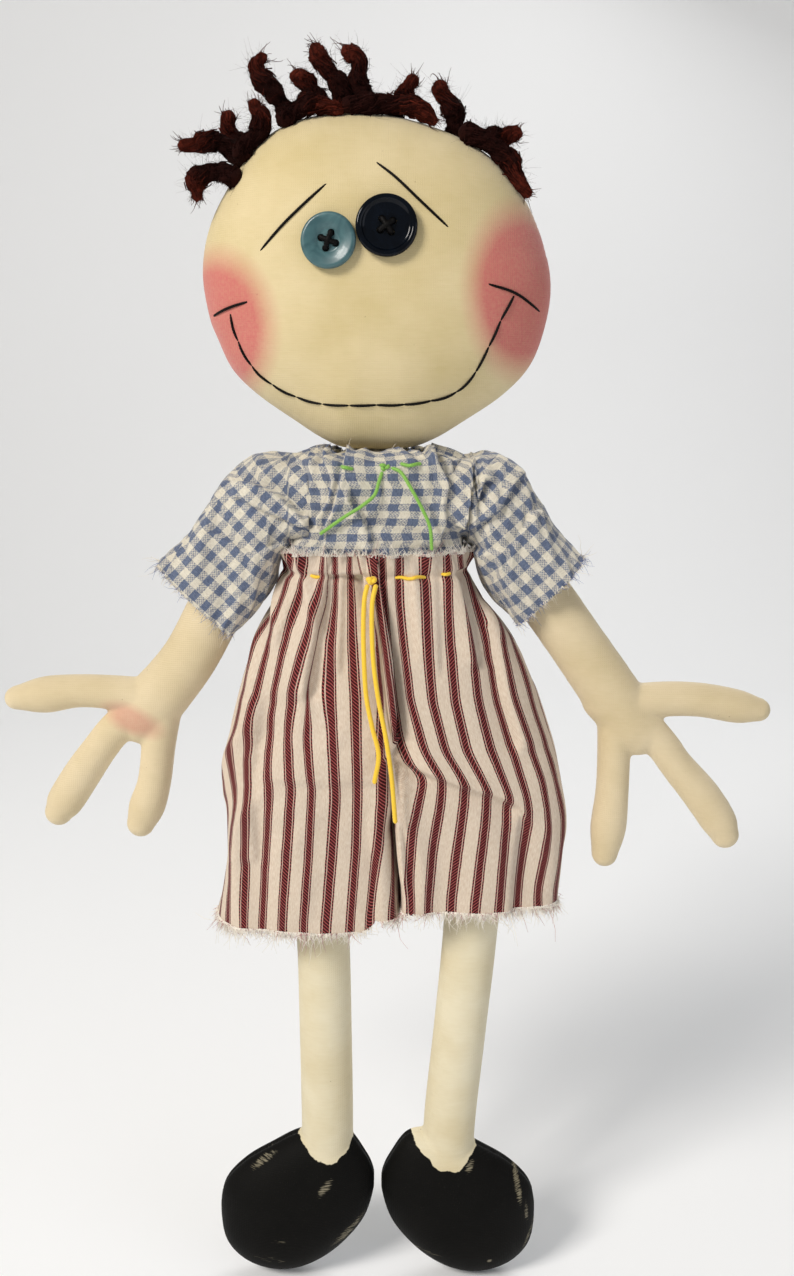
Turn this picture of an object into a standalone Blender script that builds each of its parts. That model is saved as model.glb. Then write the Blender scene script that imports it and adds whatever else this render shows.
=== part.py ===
"""A stuffed rag doll in a gingham shirt and striped trousers, built as separate sewn pieces.

Lengths are in metres. Heights are measured up from the soles and depths from the doll's
middle plane, and everything is then moved so that the origin is the point at the back of
the shirt's neck where the doll hangs. The face looks along -Y, and left and right are the
doll's own, so its left side is at +X.
"""

import math

import bmesh
import bpy
import numpy as np
from mathutils import Vector

# The doll's main sizes.
HANG_HEIGHT = 0.350
SEAT_GAP = 0.0003
CLOTH_THICKNESS = 0.0007

HEAD_WIDTH = 0.132
HEAD_HEIGHT = 0.123
HEAD_THICKNESS = 0.064
CHIN_HEIGHT = 0.361
HEAD_BACK_FLAT = 0.0005

TORSO_WIDTH = 0.064
TORSO_THICKNESS = 0.037
NECK_BALL_RADIUS = 0.0105

HIP_HEIGHT = 0.262
HIP_SPREAD = 0.046
LEG_WIDTH = 0.023
LEG_THICKNESS = 0.021
THIGH_WIDTH = 0.026
HIP_BALL_RADIUS = 0.011

SHOULDER_HEIGHT = 0.338
SHOULDER_BALL_RADIUS = 0.0095
ARM_WIDTH = 0.023
ARM_THICKNESS = 0.019
PALM_WIDTH = 0.027
FINGER_LENGTH = 0.066
FINGER_WIDTH = 0.015

FOOT_WIDTH = 0.068
FOOT_HEIGHT = 0.068
FOOT_THICKNESS = 0.030

SHIRT_DEPTH = 0.042
WAIST_HEIGHT = 0.3135
CUFF_HEIGHT = 0.168
TROUSER_HALF_WIDTH = 0.076
TROUSER_DEPTH = 0.050

EYE_RIGHT_DIAMETER = 0.0208
EYE_LEFT_DIAMETER = 0.0232
BUTTON_THICKNESS = 0.0030
FLOSS_DIAMETER = 0.0010
HAIR_DIAMETER = 0.0064
HAIR_REACH = 0.026
TIE_DIAMETER = 0.0014
WAIST_TIE_DIAMETER = 0.0019

# Each stuffed form is fullest in the middle and thins to its seam by these two powers.
FULLNESS_SHARE = 2.4
SEAM_SHARE = 0.55
# Points nearer to each other than this share of a wall's thickness are one point.
WELD_SHARE = 0.01

HEAD_MIDDLE = CHIN_HEIGHT + HEAD_HEIGHT / 2
TORSO_TOP = CHIN_HEIGHT - SEAT_GAP
CROTCH_HEIGHT = HIP_HEIGHT + HIP_BALL_RADIUS
NECK_PIVOT_HEIGHT = TORSO_TOP - NECK_BALL_RADIUS
SHIRT_HALF_WIDTH = TORSO_WIDTH / 2 + 2 * SEAT_GAP + CLOTH_THICKNESS
SHOULDER_REACH = TORSO_WIDTH / 2 + SEAT_GAP + SHOULDER_BALL_RADIUS
ORIGIN = np.array([0, SHIRT_DEPTH / 2, HANG_HEIGHT])

PIVOTS = {
    "torso": np.array([0, 0, WAIST_HEIGHT]),
    "head": np.array([0, 0, NECK_PIVOT_HEIGHT]),
    "arm_left": np.array([SHOULDER_REACH, 0, SHOULDER_HEIGHT]),
    "arm_right": np.array([-SHOULDER_REACH, 0, SHOULDER_HEIGHT]),
    "leg_left": np.array([HIP_SPREAD / 2, 0, HIP_HEIGHT]),
    "leg_right": np.array([-HIP_SPREAD / 2, 0, HIP_HEIGHT]),
}

for old in list(bpy.data.objects):
    bpy.data.objects.remove(old)

doll = bpy.data.collections.new("rag_doll")
helpers = bpy.data.collections.new("rag_doll_cutters")
bpy.context.scene.collection.children.link(doll)
bpy.context.scene.collection.children.link(helpers)

empties = {}
for body_name, pivot in PIVOTS.items():
    empty = bpy.data.objects.new(body_name + "_pivot", None)
    empty.location = Vector(pivot - ORIGIN)
    doll.objects.link(empty)
    empties[body_name] = empty


def finish(name, colour, roughness):
    """A Principled material of one colour, given as linear red, green and blue."""
    material = bpy.data.materials.new(name)
    material.use_nodes = True
    shader = material.node_tree.nodes["Principled BSDF"]
    shader.inputs["Base Color"].default_value = (*colour, 1)
    shader.inputs["Roughness"].default_value = roughness
    return material


MUSLIN = finish("muslin", (0.76, 0.62, 0.40), 0.9)
GINGHAM = finish("gingham", (0.36, 0.40, 0.52), 0.9)
TICKING = finish("ticking", (0.72, 0.58, 0.46), 0.9)
BLACK_PAINT = finish("black_paint", (0.015, 0.014, 0.013), 0.5)
WOOL = finish("wool_yarn", (0.030, 0.006, 0.005), 1.0)
BLACK_FLOSS = finish("black_floss", (0.01, 0.01, 0.01), 0.8)
GREEN_FLOSS = finish("green_floss", (0.25, 0.45, 0.08), 0.7)
YELLOW_FLOSS = finish("yellow_floss", (0.75, 0.50, 0.12), 0.7)
TEAL_BUTTON = finish("teal_button", (0.06, 0.16, 0.20), 0.25)
NAVY_BUTTON = finish("navy_button", (0.008, 0.010, 0.022), 0.12)


def add(name, data, body, material, helper=False):
    """Adds a mesh or curve, whose points are measured from the body's pivot, to that body."""
    obj = bpy.data.objects.new(name, data)
    data.materials.append(material)
    obj.parent = empties[body]
    (helpers if helper else doll).objects.link(obj)
    if helper:
        obj.hide_render = True
        obj.display_type = "WIRE"
    return obj


def add_mesh(name, bm, body, material, helper=False):
    """The same for a bmesh in the doll's own places; it is shaded smooth except at sharp seams."""
    bmesh.ops.translate(bm, verts=bm.verts, vec=Vector(-PIVOTS[body]))
    mesh = bpy.data.meshes.new(name)
    bm.to_mesh(mesh)
    bm.free()
    mesh.shade_smooth()
    mesh.set_sharp_from_angle(angle=math.radians(50))
    return add(name, mesh, body, material, helper)


def smooth(points, count, closed=False):
    """A Catmull-Rom curve through the points, in count steps of its own parameter."""
    points = np.array(points, float)
    if closed:
        held = np.vstack([points[-1], points, points[0], points[1]])
        spans = len(points)
    else:
        held = np.vstack([2 * points[0] - points[1], points, 2 * points[-1] - points[-2]])
        spans = len(points) - 1
    t = np.linspace(0, spans, count, endpoint=not closed)
    i = np.minimum(t.astype(int), spans - 1)
    f = (t - i)[:, None]
    a, b, c, d = (held[i + k] for k in range(4))
    bend = 2 * a - 5 * b + 4 * c - d
    return (2 * b + (c - a) * f + bend * f**2 + (3 * b - a - 3 * c + d) * f**3) / 2


def even(points, count):
    """The same line with its points at even distances."""
    along = np.append(0, np.cumsum(np.linalg.norm(np.diff(points, axis=0), axis=1)))
    at = np.linspace(0, along[-1], count)
    return np.stack([np.interp(at, along, points[:, k]) for k in range(points.shape[1])], axis=1)


def rim_of(shares, half_width, half_height, grow=0.0):
    """A closed outline about its middle, as angles and the rim's distance at each of them."""
    line = smooth(shares, 16 * len(shares), closed=True) * (half_width, half_height)
    angle = np.arctan2(line[:, 1], line[:, 0])
    order = np.argsort(angle)
    return angle[order], np.hypot(line[:, 0], line[:, 1])[order] + grow


def rim_at(rim, angle):
    """The rim's distance from the middle at an angle."""
    return np.interp(angle, rim[0], rim[1], period=2 * math.pi)


def pad_depth(rim, half_thickness, x, z):
    """How far a stuffed pad's face stands from its middle plane, at a place from its middle."""
    share = np.hypot(x, z) / rim_at(rim, np.arctan2(z, x))
    return half_thickness * np.clip(1 - share**FULLNESS_SHARE, 0, 1) ** SEAM_SHARE


def pad(rim, half_thickness, middle, around, across):
    """A stuffed pad sewn from two flat pieces: a sphere drawn out to the outline."""
    bm = bmesh.new()
    bmesh.ops.create_uvsphere(bm, u_segments=around, v_segments=across, radius=1)
    for vert in bm.verts:
        x, y, h = vert.co
        angle = math.atan2(y, x)
        share = math.sqrt(max(0, 1 - h * h))
        reach = share * rim_at(rim, angle)
        depth = half_thickness * max(0, 1 - share**FULLNESS_SHARE) ** SEAM_SHARE
        vert.co = (
            middle[0] + reach * math.cos(angle),
            middle[1] - math.copysign(depth, h),
            middle[2] + reach * math.sin(angle),
        )
    return bm


def limb(route, widths, thicknesses, around=16, rings=14, twist=0.0):
    """A stuffed tube with round ends along a route in a plane of constant depth. Each end is a
    cap of three rings, and twist turns the tube's facets about its own line."""
    cap = 3
    bm = bmesh.new()
    bmesh.ops.create_uvsphere(bm, u_segments=around, v_segments=rings, radius=1)
    line = even(smooth(route, 60), 120)
    along = np.append(0, np.cumsum(np.linalg.norm(np.diff(line, axis=0), axis=1)))
    whole = along[-1]
    start, end = widths[0] / 2, widths[-1] / 2
    at = np.linspace(0, 1, len(widths))
    for vert in bm.verts:
        ring = round(math.acos(max(-1, min(1, vert.co.z))) / math.pi * rings)
        turn = math.atan2(vert.co.y, vert.co.x) + twist
        if ring <= cap:
            lean = ring / cap * math.pi / 2
            place, fat = start * (1 - math.cos(lean)), math.sin(lean)
        elif ring >= rings - cap:
            lean = (rings - ring) / cap * math.pi / 2
            place, fat = whole - end * (1 - math.cos(lean)), math.sin(lean)
        else:
            part = (ring - cap) / (rings - 2 * cap)
            place, fat = start + part * (whole - start - end), 1.0
        centre = np.array([np.interp(place, along, line[:, k]) for k in range(3)])
        ahead = np.array([np.interp(place + start, along, line[:, k]) for k in range(3)])
        behind = np.array([np.interp(place - start, along, line[:, k]) for k in range(3)])
        tangent = (ahead - behind) / np.linalg.norm(ahead - behind)
        across = np.array([tangent[2], 0, -tangent[0]])
        wide = fat * np.interp(place / whole, at, widths) / 2
        thick = fat * np.interp(place / whole, at, thicknesses) / 2
        inward = np.array([0, 1, 0]) * thick * math.sin(turn)
        vert.co = Vector(centre + across * wide * math.cos(turn) + inward)
    bmesh.ops.recalc_face_normals(bm, faces=bm.faces)
    return bm


def sheet(name, rows, body, material, keep=None):
    """Cloth wrapped round as a closed tube, from rows of points; keep says which cells stay."""
    rows = np.array(rows)
    count, around = rows.shape[:2]
    bm = bmesh.new()
    bmesh.ops.create_grid(bm, x_segments=around, y_segments=count - 1, size=1)
    for vert in bm.verts:
        turn = round((vert.co.x + 1) / 2 * around) % around
        row = round((vert.co.y + 1) / 2 * (count - 1))
        vert.co = Vector(rows[row, turn])
    bmesh.ops.remove_doubles(bm, verts=bm.verts, dist=WELD_SHARE * CLOTH_THICKNESS)
    if keep is not None:
        dropped = [face for face in bm.faces if not keep(np.array(face.calc_center_median()))]
        bmesh.ops.delete(bm, geom=dropped, context="FACES")
    bmesh.ops.recalc_face_normals(bm, faces=bm.faces)
    out = sum(face.normal.dot(face.calc_center_median() - Vector(rows[:, :].mean(axis=(0, 1))))
              for face in bm.faces)
    if out < 0:
        bmesh.ops.reverse_faces(bm, faces=bm.faces)
    obj = add_mesh(name, bm, body, material)
    wall = obj.modifiers.new("cloth thickness", "SOLIDIFY")
    wall.thickness = CLOTH_THICKNESS
    wall.offset = -1
    return obj


def strand(name, points, diameter, body, material, shares=(1,), sides=1):
    """A thread or a lock of yarn: a round tube, whose thickness follows the shares."""
    curve = bpy.data.curves.new(name, "CURVE")
    curve.dimensions = "3D"
    curve.bevel_depth = diameter / 2
    curve.bevel_resolution = sides
    curve.use_fill_caps = True
    spline = curve.splines.new("POLY")
    spline.points.add(len(points) - 1)
    fat = np.interp(np.linspace(0, 1, len(points)), np.linspace(0, 1, len(shares)), shares)
    for point, place, radius in zip(spline.points, points, fat):
        point.co = (*(place - PIVOTS[body]), 1)
        point.radius = radius
    return add(name, curve, body, material)


def cut(obj, cutter):
    """Takes the cutter's volume out of a piece."""
    modifier = obj.modifiers.new("cut", "BOOLEAN")
    modifier.operation = "DIFFERENCE"
    modifier.object = cutter


def join(obj, other):
    """Adds another form's volume to a piece."""
    modifier = obj.modifiers.new("join", "BOOLEAN")
    modifier.operation = "UNION"
    modifier.object = other


# The head: two round pieces of muslin, stuffed hard. Its outline narrows to a flat chin.
HEAD_RIM_SHARES = [
    (1.00, 0.04), (0.94, 0.29), (0.84, 0.51), (0.67, 0.73), (0.43, 0.88), (0.12, 0.98),
    (-0.18, 1.00), (-0.44, 0.96), (-0.66, 0.83), (-0.85, 0.56), (-0.96, 0.32), (-1.00, 0.07),
    (-0.97, -0.18), (-0.92, -0.33), (-0.84, -0.51), (-0.70, -0.66), (-0.50, -0.81),
    (-0.31, -0.94), (-0.16, -0.995), (0.16, -0.995), (0.33, -0.94), (0.52, -0.82),
    (0.74, -0.66), (0.90, -0.47), (0.985, -0.20),
]
HEAD_RIM = rim_of(HEAD_RIM_SHARES, HEAD_WIDTH / 2, HEAD_HEIGHT / 2)
head_form = pad(HEAD_RIM, HEAD_THICKNESS / 2, (0, 0, HEAD_MIDDLE), 40, 18)
back_of_head = HEAD_THICKNESS / 2 - HEAD_BACK_FLAT
for head_vert in head_form.verts:
    head_vert.co.y = min(head_vert.co.y, back_of_head)
add_mesh("head", head_form, "head", MUSLIN)


def on_face(x_share, z_share, lift=0.0):
    """The place on the face at these shares of the half width and height, and the way out."""
    x, z = x_share * HEAD_WIDTH / 2, z_share * HEAD_HEIGHT / 2
    half, step = HEAD_THICKNESS / 2, FLOSS_DIAMETER

    def depth(dx, dz):
        return pad_depth(HEAD_RIM, half, x + dx, z + dz)

    slope = np.array([
        depth(-step, 0) - depth(step, 0), -2 * step, depth(0, -step) - depth(0, step)
    ])
    out = slope / np.linalg.norm(slope)
    return np.array([x, -depth(0, 0), HEAD_MIDDLE + z]) + out * lift, out


def face_line(name, shares, count):
    """A stitched line of floss, lying on the face through the given places."""
    lift = FLOSS_DIAMETER / 2 + SEAT_GAP
    places = [on_face(x, z, lift)[0] for x, z in even(smooth(shares, 12 * len(shares)), count)]
    return strand(name, places, FLOSS_DIAMETER, "head", BLACK_FLOSS)


MOUTH_SHARES = [
    (-0.815, -0.185), (-0.795, -0.290), (-0.752, -0.405), (-0.693, -0.505), (-0.62, -0.578),
    (-0.53, -0.638), (-0.432, -0.682), (-0.315, -0.714), (-0.175, -0.724), (0.005, -0.722),
    (0.134, -0.721), (0.246, -0.709), (0.359, -0.686), (0.444, -0.650), (0.500, -0.603),
    (0.554, -0.532), (0.597, -0.444), (0.644, -0.340), (0.698, -0.213), (0.756, -0.093),
]
face_line("brow_stitch_right", [(-0.629, 0.164), (-0.504, 0.323), (-0.394, 0.427), (-0.259, 0.537)], 9)
face_line("brow_stitch_left", [(0.004, 0.659), (0.106, 0.572), (0.241, 0.436), (0.397, 0.287)], 9)
face_line("mouth_stitch", MOUTH_SHARES, 34)
face_line("smile_tick_right", [(-0.931, -0.191), (-0.820, -0.150), (-0.710, -0.121)], 6)
face_line("smile_tick_left", [(0.614, -0.023), (0.770, -0.070), (0.927, -0.167)], 8)

# The eyes: two unlike four-hole buttons, each held by a cross of floss through its holes.
BUTTON_PROFILE_SHARES = [
    (0.00, 0.45), (0.48, 0.45), (0.66, 0.92), (0.82, 1.00), (0.95, 0.85), (1.00, 0.55),
    (0.86, 0.00), (0.00, 0.00),
]
HOLE_DIAMETER = 0.0024
HOLE_SPREAD = 0.0050
EYE_THREAD_DIAMETER = 0.0012
# Where a thread bends down into its hole, as a share of the way from the button's middle.
THREAD_BEND_SHARE = 0.9


def eye(side, diameter, x_share, z_share, material, turn_degrees):
    """A turned button seated on the face, its holes cut by four pins, and its crossed threads."""
    seat, out = on_face(x_share, z_share, SEAT_GAP)
    turn = Vector(out).to_track_quat("Z", "Y").to_euler()
    profile = bmesh.new()
    corners = [profile.verts.new((r * diameter / 2, 0, h * BUTTON_THICKNESS))
               for r, h in BUTTON_PROFILE_SHARES]
    for first, second in zip(corners, corners[1:]):
        profile.edges.new((second, first))
    mesh = bpy.data.meshes.new("eye_button_" + side)
    profile.to_mesh(mesh)
    profile.free()
    button = add("eye_button_" + side, mesh, "head", material)
    button.location = Vector(seat - PIVOTS["head"])
    button.rotation_euler = turn
    spin = button.modifiers.new("turn the profile", "SCREW")
    spin.steps = spin.render_steps = 24
    spin.use_merge_vertices = True
    spin.merge_threshold = WELD_SHARE * BUTTON_THICKNESS
    spin.use_normal_flip = True

    holes = bmesh.new()
    places = [math.radians(turn_degrees + quarter * 90) for quarter in range(4)]
    for angle in places:
        made = bmesh.ops.create_cone(
            holes, cap_ends=True, segments=8, radius1=HOLE_DIAMETER / 2,
            radius2=HOLE_DIAMETER / 2, depth=3 * BUTTON_THICKNESS)
        bmesh.ops.translate(holes, verts=made["verts"], vec=(
            math.cos(angle) * HOLE_SPREAD / 2, math.sin(angle) * HOLE_SPREAD / 2, 0))
    cutter_mesh = bpy.data.meshes.new("eye_holes_" + side)
    holes.to_mesh(cutter_mesh)
    holes.free()
    cutter = add("eye_holes_" + side, cutter_mesh, "head", material, helper=True)
    cutter.location, cutter.rotation_euler = button.location, turn
    cut(button, cutter)

    well = BUTTON_PROFILE_SHARES[0][1] * BUTTON_THICKNESS
    top = well + SEAT_GAP + EYE_THREAD_DIAMETER / 2
    bars = []
    for quarter in (0, 1):
        across = Vector((math.cos(places[quarter]), math.sin(places[quarter]), 0))
        bar = bmesh.new()
        route = smooth([
            across * -HOLE_SPREAD / 2 + Vector((0, 0, SEAT_GAP + EYE_THREAD_DIAMETER / 2)),
            across * -HOLE_SPREAD / 2 * THREAD_BEND_SHARE + Vector((0, 0, top)),
            Vector((0, 0, top + EYE_THREAD_DIAMETER / 4)),
            across * HOLE_SPREAD / 2 * THREAD_BEND_SHARE + Vector((0, 0, top)),
            across * HOLE_SPREAD / 2 + Vector((0, 0, SEAT_GAP + EYE_THREAD_DIAMETER / 2)),
        ], 13)
        last = len(route) - 1
        bmesh.ops.create_uvsphere(bar, u_segments=6, v_segments=last + 2, radius=1)
        side_way = across.cross(Vector((0, 0, 1)))
        for vert in bar.verts:
            ring = round(math.acos(max(-1, min(1, vert.co.z))) / math.pi * (last + 2))
            spot = Vector(route[min(max(ring - 1, 0), last)])
            ahead = Vector(route[min(ring, last)]) - Vector(route[max(ring - 2, 0)])
            upward = side_way.cross(ahead).normalized()
            turned = math.atan2(vert.co.y, vert.co.x)
            fat = EYE_THREAD_DIAMETER / 2 if 0 < ring < last + 2 else 0
            vert.co = spot + (side_way * math.cos(turned) + upward * math.sin(turned)) * fat
        bmesh.ops.recalc_face_normals(bar, faces=bar.faces)
        bar_mesh = bpy.data.meshes.new("eye_thread_" + side)
        bar.to_mesh(bar_mesh)
        bar.free()
        name = "eye_thread_" + side if quarter == 0 else "eye_thread_crossing_" + side
        piece = add(name, bar_mesh, "head", BLACK_FLOSS, helper=quarter == 1)
        piece.location, piece.rotation_euler = button.location, turn
        bars.append(piece)
    join(bars[0], bars[1])


eye("right", EYE_RIGHT_DIAMETER, -0.262, 0.216, TEAL_BUTTON, 20)
eye("left", EYE_LEFT_DIAMETER, 0.086, 0.300, NAVY_BUTTON, 55)

# The hair: locks of felted yarn, tacked along the top seam and left standing. Each lock is
# a layer from the back of the seam to the front, and places as an angle round the head in
# degrees and a lift off the seam as a share of the hair's reach.
HAIR_LOCK_SHARES = {
    "hair_lock_1": (0.05, [(137, 0.01), (138, 0.42), (141, 0.66), (145, 0.84)]),
    "hair_lock_2": (-0.30, [(144, 0.07), (146, 0.36), (150, 0.48), (155, 0.42)]),
    "hair_lock_3": (0.36, [(134, 0.075), (135, 0.42), (134, 0.68), (131, 0.83)]),
    "hair_lock_4": (-0.22, [(137, 0.13), (131, 0.15), (126, 0.25), (124, 0.48)]),
    "hair_lock_5": (0.05, [(118, 0.03), (119, 0.45), (120, 0.80), (117, 1.02)]),
    "hair_lock_6": (-0.24, [(120, 0.12), (114, 0.17), (108, 0.16), (103, 0.11)]),
    "hair_lock_7": (0.05, [(107, 0.05), (108, 0.30), (109, 0.48), (112, 0.58)]),
    "hair_lock_8": (0.05, [(99, 0.05), (101, 0.40), (103, 0.68), (105, 0.90)]),
    "hair_lock_9": (0.05, [(92, 0.06), (95, 0.40), (95, 0.70), (97, 0.88)]),
    "hair_lock_10": (-0.24, [(99, 0.13), (89, 0.17), (79, 0.17), (70, 0.13)]),
    "hair_lock_11": (0.05, [(84, 0.03), (82, 0.32), (79, 0.52)]),
    "hair_lock_12": (0.05, [(62, 0.05), (65, 0.30), (69, 0.44), (72, 0.58)]),
    "hair_lock_13": (0.05, [(54, 0.09), (50, 0.32), (46, 0.48)]),
    "hair_lock_14": (-0.24, [(58, 0.14), (49, 0.18), (40, 0.17), (31, 0.12)]),
}
LOCK_THICKNESS_SHARES = (0.9, 1.0, 1.0, 0.95, 0.7)
for lock_name, (layer_share, lock_shares) in HAIR_LOCK_SHARES.items():
    lock_depth = layer_share * HEAD_THICKNESS / 2
    drawn_in = (1 - abs(layer_share) ** (1 / SEAM_SHARE)) ** (1 / FULLNESS_SHARE)
    lock_places = []
    for angle_degrees, lift_share in lock_shares:
        angle = math.radians(angle_degrees)
        reach = rim_at(HEAD_RIM, angle) * drawn_in + SEAT_GAP + lift_share * HAIR_REACH
        lock_places.append((
            reach * math.cos(angle), lock_depth, HEAD_MIDDLE + reach * math.sin(angle)))
    strand(lock_name, even(smooth(lock_places, 40), 10), HAIR_DIAMETER, "head", WOOL,
           LOCK_THICKNESS_SHARES)

# The torso: a stuffed muslin bag with square shoulders and a short neck.
TORSO_RIM_SHARES = [
    (1.00, 0.00), (1.00, 0.40), (0.97, 0.66), (0.84, 0.78), (0.62, 0.83), (0.54, 0.90),
    (0.46, 0.985), (0.20, 1.00), (-0.20, 1.00), (-0.46, 0.985), (-0.54, 0.90), (-0.62, 0.83),
    (-0.84, 0.78), (-0.97, 0.66), (-1.00, 0.40), (-1.00, 0.00), (-1.00, -0.50),
    (-0.97, -0.85), (-0.80, -0.99), (-0.40, -1.00), (0.40, -1.00), (0.80, -0.99),
    (0.97, -0.85), (1.00, -0.50),
]
torso_half_height = (TORSO_TOP - CROTCH_HEIGHT) / 2
TORSO_MIDDLE = (0, 0, (TORSO_TOP + CROTCH_HEIGHT) / 2)
TORSO_RIM = rim_of(TORSO_RIM_SHARES, TORSO_WIDTH / 2, torso_half_height)
add_mesh("torso", pad(TORSO_RIM, TORSO_THICKNESS / 2, TORSO_MIDDLE, 34, 12), "torso", MUSLIN)

# The feet and legs. A foot is a flat-cut stuffed paddle painted as a black shoe, and the
# leg above it is stuffed muslin, whose lower end fits over the foot's seam.
FOOT_RIM_SHARES = [
    (0.98, 0.10), (1.00, 0.40), (0.88, 0.68), (0.66, 0.98), (0.34, 1.02), (0.02, 0.97),
    (-0.30, 0.80), (-0.68, 0.56), (-0.95, 0.24), (-1.00, -0.18), (-0.93, -0.58),
    (-0.68, -0.86), (-0.30, -0.99), (0.10, -0.93), (0.50, -0.68), (0.84, -0.28),
]
# Where each leg runs, from the hip down to the ankle's lower end, as shares of the hips' spread
# and height, and each foot's middle as shares of the hips' spread and the foot's height.
LEG_ROUTE_SHARES = {
    "left": [(0.5, 1), (0.891, 0.802), (0.837, 0.611), (0.663, 0.275)],
    "right": [(-0.5, 1), (-0.565, 0.802), (-0.511, 0.611), (-0.489, 0.275)],
}
ANKLE_END_SHARE = 0.1985
FOOT_MIDDLE_SHARES = {"left": (0.750, 0.485), "right": (-0.783, 0.500)}
for side in ("left", "right"):
    leg_body = "leg_" + side
    foot_shares = FOOT_RIM_SHARES if side == "right" else [(-x, z) for x, z in FOOT_RIM_SHARES]
    middle_x_share, middle_z_share = FOOT_MIDDLE_SHARES[side]
    foot_middle = (middle_x_share * HIP_SPREAD, 0, middle_z_share * FOOT_HEIGHT)
    for foot_name, foot_grow, is_helper in (("foot_", 0.0, False), ("foot_seat_", SEAT_GAP, True)):
        foot_rim = rim_of(foot_shares, FOOT_WIDTH / 2, FOOT_HEIGHT / 2, foot_grow)
        foot_form = pad(foot_rim, FOOT_THICKNESS / 2 + foot_grow, foot_middle, 28, 12)
        foot = add_mesh(foot_name + side, foot_form, leg_body, BLACK_PAINT, helper=is_helper)
    route = [(x * HIP_SPREAD, 0, z * HIP_HEIGHT) for x, z in LEG_ROUTE_SHARES[side]]
    hip_top = (route[0][0], 0, HIP_HEIGHT + HIP_BALL_RADIUS)
    ankle = (route[-1][0], 0, ANKLE_END_SHARE * HIP_HEIGHT)
    leg_form = limb(
        [hip_top, *route, ankle],
        [2 * HIP_BALL_RADIUS, THIGH_WIDTH, LEG_WIDTH, LEG_WIDTH, LEG_WIDTH],
        [2 * HIP_BALL_RADIUS, LEG_THICKNESS, LEG_THICKNESS, LEG_THICKNESS, LEG_THICKNESS],
        around=14, rings=18)
    leg = add_mesh("leg_" + side, leg_form, leg_body, MUSLIN)
    cut(leg, foot)

# The arms: each is a stuffed muslin tube that ends in a palm with three fingers, cut in one.
# A finger is its angle from the palm in degrees, above or below level, its reach from the
# palm's middle as a share of a finger's length, and its tip as a share of a finger's width.
ARM_ANGLES = {"left": -55.6, "right": -57.0}
ARM_REACHES = {"left": 0.1015, "right": 0.0980}
FINGER_SHARES = {
    "left": [(3, 0.788, 0.800), (-50.5, 0.985, 0.900), (-95.5, 1.000, 0.833)],
    "right": [(5, 0.818, 0.767), (-55.5, 0.894, 0.933), (-86, 0.818, 0.867)],
}
FINGER_THICKNESS_SHARE = 0.92
# Each finger's facets are turned by a further share of a turn, so that no two lie in one plane.
FINGER_TWIST_SHARE = 0.0207
for side, sign in (("left", 1), ("right", -1)):
    arm_body = "arm_" + side
    shoulder = PIVOTS[arm_body]
    lean = math.radians(ARM_ANGLES[side])
    way = np.array([sign * math.cos(lean), 0, math.sin(lean)])
    palm = shoulder + way * ARM_REACHES[side]
    arm_form = limb(
        [shoulder - way * SHOULDER_BALL_RADIUS, shoulder, (shoulder + palm) / 2, palm,
         palm + way * PALM_WIDTH / 2],
        [2 * SHOULDER_BALL_RADIUS, ARM_WIDTH, ARM_WIDTH, PALM_WIDTH, PALM_WIDTH],
        [2 * SHOULDER_BALL_RADIUS, ARM_THICKNESS, ARM_THICKNESS, ARM_THICKNESS, ARM_THICKNESS],
        rings=16)
    arm = add_mesh("arm_" + side, arm_form, arm_body, MUSLIN)
    for number, (degrees, reach_share, tip_share) in enumerate(FINGER_SHARES[side], 1):
        point = math.radians(degrees)
        finger_way = np.array([sign * math.cos(point), 0, math.sin(point)])
        reach = reach_share * FINGER_LENGTH
        finger_widths = [FINGER_WIDTH, FINGER_WIDTH, tip_share * FINGER_WIDTH]
        finger_form = limb(
            [palm - finger_way * FINGER_WIDTH / 4, palm + finger_way * reach / 2, palm + finger_way * reach],
            finger_widths, [width * FINGER_THICKNESS_SHARE for width in finger_widths],
            around=12, rings=12, twist=FINGER_TWIST_SHARE * number * 2 * math.pi)
        finger = add_mesh(f"finger_{side}_{number}", finger_form, arm_body, MUSLIN, helper=True)
        join(arm, finger)

# The shirt: a gingham body gathered to the neck and two sleeves sewn to its sides. The body
# is open at the neck, at the tail and where the arms pass through to the sleeves.
SHIRT_TUCK = 0.0030
SHIRT_TAIL = WAIST_HEIGHT + SHIRT_TUCK
SHIRT_SHOULDER = 0.3570
NECK_OPENING_WIDTH = 0.0400
NECK_OPENING_DEPTH = 0.0250
SHIRT_BOX_SHARE = 2.8
ARMHOLE_RADIUS = 0.0080
FOLD_DEPTH = 0.0016
body_folds, neck_folds, around_shirt = 9, 11, 40
# How far up the shirt, and how deep it is there, as shares of its height and depth.
SHIRT_DEPTH_SHARES = [(0, 1), (0.18, 1), (0.36, 1), (0.54, 0.99), (0.71, 0.96), (0.87, 0.88), (1, 0.75)]


def ring_of(half_width, half_depth, power, count, fold=0.0, waves=0, lean=0.0):
    """A rounded box seen from above, whose folds only stand outwards."""
    turn = np.arange(count) / count * 2 * math.pi
    x = np.sign(np.cos(turn)) * np.abs(np.cos(turn)) ** (2 / power)
    y = np.sign(np.sin(turn)) * np.abs(np.sin(turn)) ** (2 / power)
    wave = fold * (1 + np.cos(waves * turn + lean)) / 2 * np.abs(np.sin(turn))
    return x * half_width, y * (half_depth + wave)


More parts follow.
